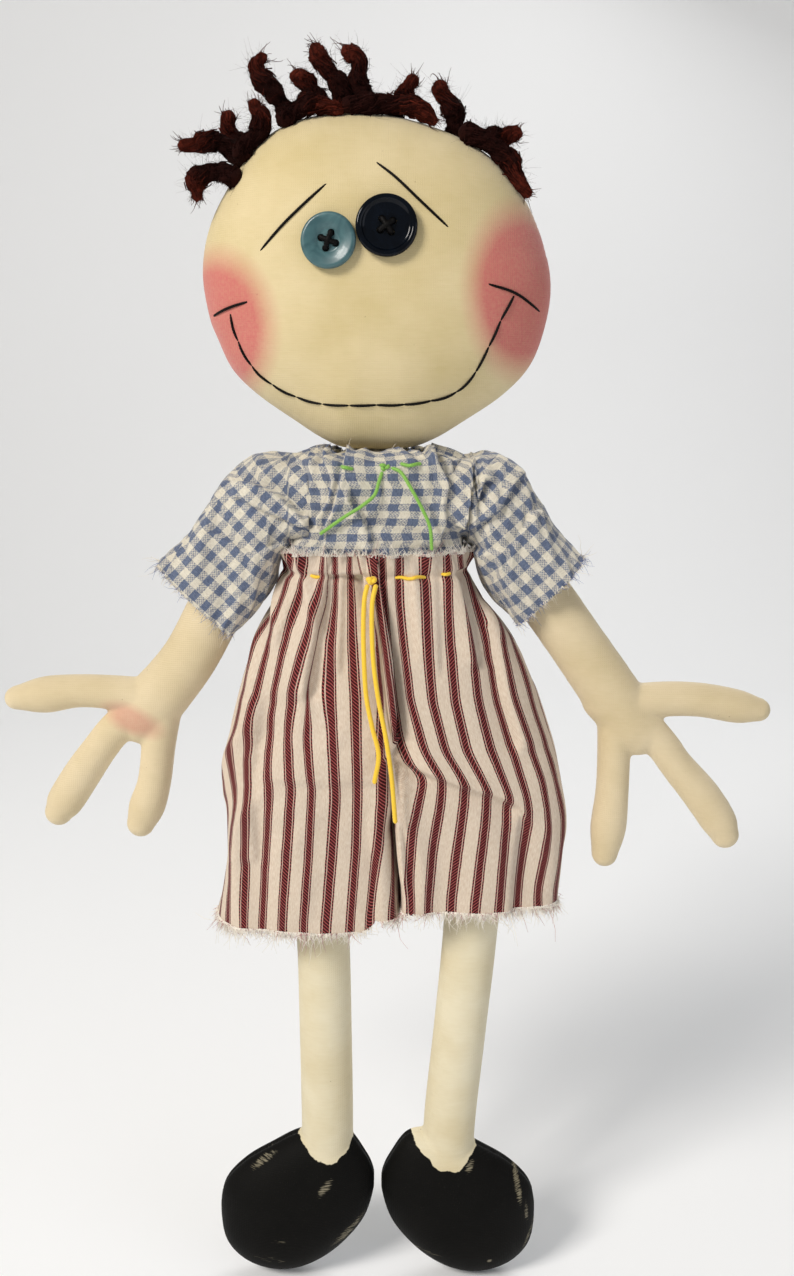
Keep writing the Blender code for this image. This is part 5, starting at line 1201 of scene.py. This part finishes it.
# Where the cloth lies on the front: each line is a number of stripes from the half's inner edge and
# places down the front, outwards from the middle and up from the soles, in millimetres. Lines that
# run together hide cloth in a tuck.
CLOTH_LINES = {
    "right": [
        (-1.00, [(1.7, 325), (-0.1, 305), (-2.8, 286), (-5.4, 266), (-7.0, 252), (-8.5, 234), (-8.9, 218),
                 (-8.1, 182)]),
        (-0.60, [(7.3, 325), (1.6, 305), (-1.2, 286), (-3.5, 266), (-5.0, 252), (-5.0, 230), (-3.4, 205),
                 (-2.5, 178)]),
        (0.00, [(7.9, 325), (2.0, 305), (-0.8, 286), (-2.3, 266), (-1.5, 250), (-1.5, 226), (1.0, 201),
                (3.9, 171)]),
        (1.00, [(9.6, 325), (10.4, 315), (10.1, 305), (9.9, 290), (8.5, 266), (7.9, 234), (8.5, 205),
                (11.1, 171)]),
        (2.00, [(15.6, 325), (16.2, 305), (17.6, 286), (17.8, 266), (16.5, 238), (16.2, 226), (18.4, 201),
                (21.1, 171)]),
        (2.45, [(17.7, 325), (18.9, 305), (22.5, 290), (26.2, 271), (22.1, 254), (21.3, 230), (23.2, 201),
                (25.5, 171)]),
        (3.00, [(17.9, 325), (19.1, 305), (22.7, 290), (26.6, 271), (27.6, 250), (25.6, 230), (27.5, 201),
                (30.0, 171)]),
        (3.55, [(18.1, 325), (19.3, 305), (22.9, 290), (27.0, 271), (31.1, 252), (29.5, 230), (31.9, 201),
                (34.4, 171)]),
        (4.00, [(19.0, 325), (21.1, 309), (26.3, 292), (33.1, 270), (35.3, 254), (33.8, 230), (36.3, 201),
                (38.8, 171)]),
        (5.00, [(25.4, 325), (28.7, 311), (35.1, 290), (42.2, 260), (43.4, 242), (42.5, 228), (44.9, 205),
                (47.2, 171)]),
        (6.00, [(31.9, 325), (35.2, 305), (42.8, 286), (49.2, 258), (52.4, 238), (51.6, 222), (53.3, 201),
                (53.9, 178)]),
        (7.00, [(33.0, 325), (38.6, 305), (46.3, 286), (52.9, 266), (57.8, 242), (58.5, 230), (57.8, 213),
                (59.7, 201), (61.9, 178)]),
    ],
    "left": [
        (0.00, [(2.1, 325), (3.2, 305), (4.7, 286), (6.6, 266), (8.5, 250), (13.6, 239), (18.7, 235),
                (14.0, 213), (12.9, 192), (13.7, 182)]),
        (1.00, [(7.7, 325), (8.1, 305), (9.7, 290), (12.8, 266), (18.6, 246), (25.3, 235), (25.0, 226),
                (22.0, 205), (20.1, 182)]),
        (2.00, [(17.9, 325), (18.8, 305), (19.6, 286), (21.3, 266), (26.4, 246), (34.8, 232), (34.4, 226),
                (31.9, 205), (29.7, 182)]),
        (3.00, [(26.6, 325), (27.1, 305), (28.0, 290), (30.1, 266), (34.6, 246), (43.8, 228), (43.5, 222),
                (41.0, 201), (38.9, 178)]),
        (4.00, [(30.7, 325), (34.0, 305), (37.2, 286), (39.4, 266), (44.3, 246), (52.5, 225), (51.8, 218),
                (49.8, 197), (48.6, 176)]),
        (5.00, [(33.4, 325), (39.3, 305), (43.3, 290), (47.1, 266), (52.9, 246), (59.6, 222), (60.6, 213),
                (59.0, 197), (56.9, 178)]),
        (6.00, [(35.3, 325), (43.9, 305), (48.4, 286), (52.9, 266), (59.5, 248), (65.3, 232), (68.5, 213),
                (67.3, 197), (65.2, 182)]),
        (7.00, [(36.8, 325), (48.9, 301), (54.9, 286), (61.8, 268), (66.8, 250), (70.4, 232), (72.4, 213),
                (72.5, 197), (71.2, 182)]),
    ],
}
# Cloth that the first line leaves hidden under the pleat, and cloth from the last line to the back's
# middle. From the turning column on, the cloth is laid by its own length and no longer by its lines.
HIDDEN_CLOTH = {"left": 0.0062, "right": 0.0300}
REST_OF_CLOTH = {"left": 0.098, "right": 0.092}
TURNING_COLUMN = 115
# The pleat's edge, where the right half laps over the left: outwards to the left and up.
PLEAT_SEAM = np.array([(-0.6, 325), (1.3, 313), (2.4, 305), (6.2, 282), (7.7, 260), (7.4, 250), (5.0, 236),
                       (0.0, 212), (0.0, 150)]) / 1000
# The tucks of the front, as lines outwards from the middle and up in millimetres, and each one's rise
# and width. The knees' creases are written in the same way.
TROUSER_FOLDS = {
    "right": [([(8.1, 325), (1.8, 305), (-1.2, 286), (-3.1, 266), (-4.2, 257)], -0.0011, 0.0045),
              ([(17.2, 322), (19.6, 305), (22.9, 290), (26.6, 270)], 0.0011, 0.0060),
              ([(27.0, 322), (31.0, 305), (38.0, 288)], 0.0006, 0.0040),
              ([(12.5, 322), (13.0, 305), (13.8, 280)], 0.0004, 0.0040),
              ([(46.0, 262), (50.0, 236), (49.0, 200)], 0.0005, 0.0080)],
    "left": [([(28.7, 322), (31.4, 313), (35.5, 298), (38.4, 282)], -0.0010, 0.0045),
             ([(31.8, 322), (41.1, 305), (45.7, 286), (49.6, 266), (55.4, 248)], 0.0010, 0.0055),
             ([(12.6, 322), (13.5, 305), (15.0, 285)], 0.0004, 0.0040),
             ([(22.4, 322), (23.0, 303), (24.0, 280)], -0.0004, 0.0040),
             ([(57.0, 214), (55.0, 190), (53.0, 170)], -0.0005, 0.0080)],
}
KNEE_CREASES = {"left": ([(8.0, 241), (10.9, 240), (20.6, 236), (32.4, 231), (44.2, 227), (56.1, 221),
                          (61.0, 213), (70.0, 205)], 0.0013, 0.0085),
                "right": ([(-9.0, 233), (20.0, 232), (42.0, 233), (60.0, 229)], 0.0003, 0.0120)}


def ticking(name):
    """Striped ticking: every 9 mm a maroon band of slanting strokes, and a thin maroon line on either
    side of it across a gap of cream. The cream ground has the fine slant of twill."""
    material, tree, shader = new_material(name, Roughness=0.88, Sheen_Weight=0.08, Specular_IOR_Level=0.3)
    u, v, flat = cloth_place(tree, 0.0003)
    turned = calc(tree, "FRACT", calc(tree, "ADD", calc(tree, "DIVIDE", u, STRIPE_PERIOD), 0.5))
    aside = calc(tree, "MULTIPLY", calc(tree, "SUBTRACT", turned, 0.5), STRIPE_PERIOD)
    away = calc(tree, "ABSOLUTE", aside)
    band = calc(tree, "LESS_THAN", away, BAND_HALF_WIDTH)
    line = calc(tree, "COMPARE", away, LINE_FROM_MIDDLE, LINE_HALF_WIDTH)
    slant = calc(tree, "DIVIDE", calc(tree, "ADD", aside, v), STROKE_PERIOD)
    stroke = calc(tree, "LESS_THAN", calc(tree, "FRACT", slant), STROKE_SHARE)
    twill = sine_ridge(tree, calc(tree, "DIVIDE", calc(tree, "MULTIPLY_ADD", u, 1.6, v), TWILL_PERIOD))
    shade = rescale(tree, noise(tree, flat, 1.0, 3.0, (2500.0, 500.0, 1.0)), 0.3, 0.7)
    cream = blend_colours(tree, shade, linear("#d8c4ae"), linear("#ecdfcd"))
    # The cream is darkened towards tan in the twill's grooves: painted shade between its ridges.
    cream = blend_colours(tree, calc(tree, "MULTIPLY_ADD", twill, 0.30, 0.70), linear("#bb9c80"), cream)
    dark = blend_colours(tree, shade, linear("#280003"), linear("#400608"))
    pink = blend_colours(tree, shade, linear("#8e3434"), linear("#aa5653"))
    tinged = calc(tree, "MULTIPLY", calc(tree, "LESS_THAN", away, 0.0020), 0.30)
    striped = blend_colours(tree, calc(tree, "ADD", band, line), blend_colours(tree, tinged, cream, pink),
                            blend_colours(tree, stroke, pink, dark))
    tree.links.new(striped, shader.inputs["Base Color"])
    weave = node(tree, "ShaderNodeMix", {"Factor": band, 2: twill, 3: sine_ridge(tree, slant)}).outputs[0]
    height = calc(tree, "MULTIPLY_ADD", noise(tree, flat, 120.0, 4.0), 5.0, weave)
    relief(tree, shader, height, 0.6, 0.00025)
    return material


def even_out(columns, kernel):
    """A table's columns, each smoothed down its rows by a row of shares, with the ends held."""
    reach = len(kernel) // 2
    held = np.pad(columns, [(reach, reach), (0, 0)], mode="edge")
    return np.stack([np.convolve(column, kernel, "valid") for column in held.T], axis=1)


def front_lap(z):
    """How far the left half runs on under the pleat, at heights z."""
    return np.interp(z, [0.250, 0.262, 0.312], [0.0030, 0.0062, 0.0065])


def pleat_edge(z):
    """How far to the doll's left the pleat's edge lies, at heights z."""
    return np.interp(z, PLEAT_SEAM[::-1, 1], PLEAT_SEAM[::-1, 0])


def half_outline(side):
    """One half before its folds, rows down by columns round, outwards from the middle. With a the turn,
    o and e the outer and inner edges and D the depth, x = e + (o - e) sin(a)^0.8 and
    y = -D/2 |cos(a)|^0.7 with the cosine's sign. Near the middle the front leans to the pleat's edge."""
    rows = np.array(TROUSER_OUTLINES[side])
    z = np.linspace(rows[0, 0], rows[-1, 0], TROUSER_GRID_ROWS)
    profile = np.stack([np.interp(-z, -rows[:, 0], rows[:, k]) for k in (1, 2, 3)], axis=1)
    outer, inner, depth = (column[:, None] for column in even_out(profile, np.ones(11) / 11).T)
    z = z[:, None]
    below = np.clip((CROTCH_SEAM_HEIGHT - z) / (CROTCH_SEAM_HEIGHT - CUFF_HEIGHT), 0, 1)
    bulge = np.minimum(1, 2.4 * below) * INNER_BULGES[side]
    edge = inner + bulge + 0.0001
    outer_x = edge + (outer - edge) * np.sin(OUTER_TURN) ** 0.8
    outer_y = -np.sign(np.cos(OUTER_TURN)) * np.abs(np.cos(OUTER_TURN)) ** 0.7 * depth / 2
    wall_x = edge - bulge * np.sin(WALL_TURN) ** np.where(WALL_TURN < math.pi / 2, 0.5, 1)
    x = np.concatenate([outer_x, wall_x], axis=1)
    y = np.concatenate([outer_y, -np.cos(WALL_TURN) * depth / 2], axis=1)
    seam_edge = -pleat_edge(z) if side == "right" else pleat_edge(z) - front_lap(z)
    x = x + seam_edge * np.clip(1 - x / 0.03, 0, 1) * np.clip(0.5 - 1.2 * y / depth, 0, 1)
    if side == "left":
        back_lap = np.exp(-((x / 0.002) ** 2)) * (y > 0) * np.clip((z - 0.254) / 0.006, 0, 1) * IS_OUTSIDE
        x, y = x - 0.0012 * back_lap, y - 0.0009 * back_lap
    return x, y, z


def cloth_across(side, x, y, z, run):
    """Where each place lies across the cloth, in metres from the half's first stripe. On the front the
    cloth lines say so, on the back it is shared out evenly, and the inner wall carries both on. One
    more column closes the round."""
    lines = CLOTH_LINES[side]
    tracks = np.stack([np.interp(z[:, 0], np.array(line)[::-1, 1] / 1000, np.array(line)[::-1, 0] / 1000)
                       for _, line in lines], axis=1)
    tracks = even_out(tracks, np.hanning(13)[1:-1] / np.hanning(13).sum())
    tracks = np.maximum.accumulate(tracks + np.arange(len(lines)) * 0.00002, axis=1)
    numbers = np.array([number for number, _ in lines]) * STRIPE_PERIOD
    total, hidden = numbers[-1] + REST_OF_CLOTH[side], HIDDEN_CLOTH[side]
    cloth = np.zeros((len(z), len(COLUMNS) + 1))
    for row in range(len(z)):
        front_x, front_run = x[row, :FRONT_COLUMNS], run[row, :FRONT_COLUMNS]
        known = np.interp(front_x, tracks[row], numbers)
        first = np.argmax(front_x >= tracks[row, 0])
        last = np.argmax(front_x >= tracks[row, -1]) or FRONT_COLUMNS - 1
        first_run, last_run = np.interp(tracks[row, [0, -1]], front_x, front_run)
        known[:first] = numbers[0] - hidden * np.tanh((first_run - front_run[:first]) / hidden)
        known[last:] = numbers[-1] + (front_run[last:] - last_run)
        turning = min(last, TURNING_COLUMN)
        known[turning:] = known[turning] + (front_run[turning:] - front_run[turning])
        cloth[row, :FRONT_COLUMNS] = known
        back_run = run[row, FRONT_COLUMNS:OUTER_COLUMNS]
        part = (back_run - front_run[-1]) / (back_run[-1] - front_run[-1])
        cloth[row, FRONT_COLUMNS:OUTER_COLUMNS] = known[-1] + (total - known[-1]) * part
        closing = np.hypot(x[row, 0] - x[row, -1], y[row, 0] - y[row, -1])
        wall_run = np.append(run[row, OUTER_COLUMNS:], run[row, -1] + closing)
        from_back, to_front = total + wall_run - back_run[-1], known[0] + wall_run - wall_run[-1]
        near_back = np.arange(WALL_COLUMNS + 1) < WALL_COLUMNS / 2
        cloth[row, OUTER_COLUMNS:] = np.where(near_back, from_back, to_front)
    return cloth


def trouser_lift(side, x, z, run):
    """How far the cloth stands off its outline: the tucks and the knee's crease, the pleat or the groove
    beside it, the gathers below the waist, soft creases, the back's tucks and the waist's ruffle."""
    is_left, front, back = side == "left", IS_FRONT * FACING, IS_OUTSIDE & ~IS_FRONT
    tucks = (fold(x, z, line, 1.9 * rise, width, 0.0018) for line, rise, width in TROUSER_FOLDS[side])
    lift = sum(tucks) * front
    crease, rise, width = KNEE_CREASES[side]
    crease = np.array(crease) / 1000
    above = z - np.interp(x, crease[:, 0], crease[:, 1])
    creased = 2.4 * rise * np.tanh(above / 0.0016) * np.exp(-np.abs(above) / width)
    lift = lift + creased * front * np.interp(x, [0.050, 0.064], [1, 0])
    if is_left:
        from_edge = x - pleat_edge(z)
        tucked = np.interp(z, [0.215, 0.240, 0.300, 0.3135], [0.1, 1, 0.7, 0.2])
        under = np.clip(1 + 0.5 * from_edge / front_lap(z), 0, 1)
        groove = np.exp(-np.clip(from_edge, 0, 1) / 0.0042) * under
        lift = lift - GROOVE_DEPTH * groove * tucked * front
    else:
        strip = np.interp(z, [0.250, 0.262], [0, 1])
        lift = lift + strip * PLEAT_RISE * np.exp(-(((x + pleat_edge(z)) / 0.0065) ** 2)) * front
    gathered = np.clip((z - 0.270) / (WAIST_HEIGHT - 0.270), 0, 1) ** 1.5
    round_run = run + 0.004 * np.sin(z * 55)
    lift = lift + 0.0032 * gathered * crumple(round_run, z, 0.0100, 0.080, 11 + is_left)
    hangs = np.interp(z, [CUFF_HEIGHT, 0.235, 0.300], [0.7, 1, 0.4])
    lift = lift + 0.0025 * hangs * crumple(round_run + 0.12 * z, z, 0.017, 0.065, 21 + is_left)
    lift = lift + 0.0004 * crumple(round_run, z + 0.4 * round_run, 0.010, 0.016, 31 + is_left)
    tuck = (np.cos(2 * math.pi * round_run / 0.021 + 1.5 * np.sin(40 * z)) * 0.6
            + np.cos(2 * math.pi * round_run / 0.0135) * 0.4)
    lift = lift + back * 0.0013 * tuck * np.interp(z, [0.158, 0.24, 0.3135], [0.45, 0.9, 1.1]) * FACING**0.5
    flared = np.cos(2 * math.pi * round_run / 0.031 + 1.0) * np.interp(z, [0.158, 0.215], [1, 0])
    lift = lift + 0.0008 * flared * IS_OUTSIDE
    lift = lift - 0.0014 * np.exp(-(((z - WAIST_HEIGHT) / 0.0015) ** 2)) * (0.5 + 0.5 * FACING)
    header = np.clip((z - WAIST_HEIGHT - 0.001) / 0.008, 0, 1)
    lift = lift + header * (0.0014 + 0.0020 * np.cos(2 * math.pi * round_run / 0.0132 + 2.0)
                            + 0.0005 * np.cos(2 * math.pi * round_run / 0.0071))
    lift = lift - 0.0005 * back * np.exp(-((x / 0.0012) ** 2))
    lift = np.where(z > 0.3150, np.maximum(lift, 0.0007), lift)
    return lift * np.append(np.ones(OUTER_COLUMNS), 0.1 + 0.9 * np.cos(WALL_TURN) ** 6)


def trouser_half(side):
    """One half's folded cloth as a grid, and its cloth's own two directions. The right half's hem is
    higher at its inner corner, as photographed."""
    x, y, z = half_outline(side)
    steps = np.hypot(np.diff(x, axis=1), np.diff(y, axis=1))
    run = np.pad(np.cumsum(steps, axis=1), [(0, 0), (1, 0)])
    places = raise_cloth(np.stack([x, y, z + 0 * x], axis=2), trouser_lift(side, x, z, run))
    if side == "right":
        corner = np.append(np.where(IS_FRONT[:OUTER_COLUMNS], np.exp(-30 * np.sin(OUTER_TURN) ** 0.8), 0),
                           np.clip(2 * np.cos(WALL_TURN / 2) ** 2, 0, 1))
        low = np.clip((HEM_CORNER_TOP - z) / (HEM_CORNER_TOP - CUFF_HEIGHT), 0, 1)
        places[..., 2] += HEM_CORNER_RISE * corner * low**2
    cloth = cloth_across(side, x, y, z, run)
    return places, np.stack([cloth, np.broadcast_to(z[0, 0] - z, cloth.shape)], axis=2)


striped_ticking = ticking("striped_cotton_ticking")
ticking_threads = frayed_threads("frayed_ticking_threads", "#f7f0e4", "#c79a98")
trouser_places = {}
for side, sign in (("left", 1), ("right", -1)):
    places, uv = trouser_half(side)
    # Above the crotch the halves are sewn to each other, so neither has an inner wall there.
    is_wall = COLUMNS >= OUTER_COLUMNS - 1
    keep = ~(is_wall & (places[:-1, :1, 2] > CROTCH_SEAM_HEIGHT + 0.0005))
    places[..., 0] *= sign
    trouser_places[side] = places
    half = cloth_piece("trouser_" + side + "_ticking", places, striped_ticking, uv, keep)
    hem = np.concatenate([places[-1], places[-1, :1]])
    threads = fringe("trouser_" + side + "_hem_fringe", hem, (0, 0, -1), 0.0034, 2000, "leg_" + side,
                     ticking_threads, 0.42, 0.13, 0.00020)
    waist_threads = fringe("trouser_" + side + "_waist_fringe", places[0, :OUTER_COLUMNS], (0, -0.15, 1),
                           0.0022, 900, "torso", ticking_threads, 0.5, 0.12, 0.00016)
    bend_at_hip(half)
    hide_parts("trouser_" + side)


# The stitches: short runs of the gathering floss where it comes out on the cloth, green at the neck
# and yellow at the waist. Each dips back into the cloth at its ends.
GATHERING_THREAD_RADIUS = 0.0007
# Each run: from and to sideways, its height, the cloth it lies on and its floss.
STITCH_RUNS = {
    "neck_stitch_right": (-0.0130, -0.0092, 0.3550, shirt_places, green_floss, "green_floss"),
    "neck_stitch_left": (0.0095, 0.0163, 0.3561, shirt_places, green_floss, "green_floss"),
    "waist_stitch_right": (-0.0250, -0.0222, 0.3135, trouser_places["right"], yellow_floss, "yellow_floss"),
    "waist_stitch_middle": (0.0075, 0.0182, 0.3135, trouser_places["left"], yellow_floss, "yellow_floss"),
    "waist_stitch_left": (0.0252, 0.0278, 0.3146, trouser_places["left"], yellow_floss, "yellow_floss"),
}
for stitch_name, (start_x, end_x, height, cloth_grid, thread, slot_name) in STITCH_RUNS.items():
    cloth_front = cloth_grid.reshape(-1, 3)
    cloth_front = cloth_front[cloth_front[:, 1] < -0.008]
    across = np.linspace(start_x, end_x, 9)
    nearest = [np.hypot(cloth_front[:, 0] - at, cloth_front[:, 2] - height).argmin() for at in across]
    over = 0.00055 * np.sin(np.linspace(-0.12, math.pi + 0.12, 9)) + 0.0001
    run = np.stack([across, cloth_front[nearest, 1] - over, height + 0.0003 * np.sin(across * 900)], axis=1)
    stitch_grid = tube(smooth_line(run, 60), GATHERING_THREAD_RADIUS, 12, FLOSS_PLIES, FLOSS_LAY, 0.24)
    stitch = surface(stitch_name + "_floss", stitch_grid, thread, wrap=True, ends=True)
    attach(stitch, "torso")
    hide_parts(stitch_name)


# The stage: a pale plain floor just under the feet that curves up into a backdrop well behind, a large
# soft light from the upper left front, as a window gives, and a weak fill from the right.
FLOOR_HEIGHT, BACKDROP_DEPTH, STAGE_HALF_WIDTH, STAGE_CURVE = -0.3515, 1.55, 3.2, 0.5
STAGE_FRONT, BACKDROP_TOP = -2.4, 2.6
paper, _, _ = new_material("matt_paper", Base_Color=linear("#f4f5f6"), Roughness=0.95)
curve = np.linspace(0, math.pi / 2, 24)
profile = np.concatenate([
    [(STAGE_FRONT, FLOOR_HEIGHT)],
    np.stack([BACKDROP_DEPTH - STAGE_CURVE + STAGE_CURVE * np.sin(curve),
              FLOOR_HEIGHT + STAGE_CURVE * (1 - np.cos(curve))], axis=1),
    [(BACKDROP_DEPTH, BACKDROP_TOP)]])
sides = np.array([-STAGE_HALF_WIDTH, STAGE_HALF_WIDTH])
sweep = np.stack([sides + 0 * profile[:, :1], profile[:, :1] + 0 * sides, profile[:, 1:] + 0 * sides], axis=2)
backdrop = surface("paper_sweep", sweep + HANG_POINT, paper)


def soft_light(name, place, target, size, watts, colour):
    """A square area light at a place, turned to face a target."""
    light = bpy.data.lights.new(name, "AREA")
    light.shape, light.size, light.energy = "SQUARE", size, watts
    light.color = linear(colour)[:3]
    made = bpy.data.objects.new(name, light)
    made.location = place
    made.rotation_euler = (Vector(target) - Vector(place)).to_track_quat("-Z", "Y").to_euler()
    bpy.context.scene.collection.objects.link(made)


soft_light("window_light", (-1.05, -1.15, 1.05), (0, 0, -0.10), 0.6, 31, "#fffaf4")
soft_light("fill_light", (1.3, -1.0, 0.1), (0, 0, -0.15), 1.2, 5, "#eef2ff")
soft_light("back_light", (0.5, 1.0, 1.1), (0, 0, -0.05), 0.8, 9, "#ffffff")
world = bpy.data.worlds.new("soft_room")
world.use_nodes = True
world.node_tree.nodes["Background"].inputs["Color"].default_value = linear("#f2f2f0")
world.node_tree.nodes["Background"].inputs["Strength"].default_value = 0.27
bpy.context.scene.world = world
bpy.context.scene.view_settings.view_transform = "Standard"
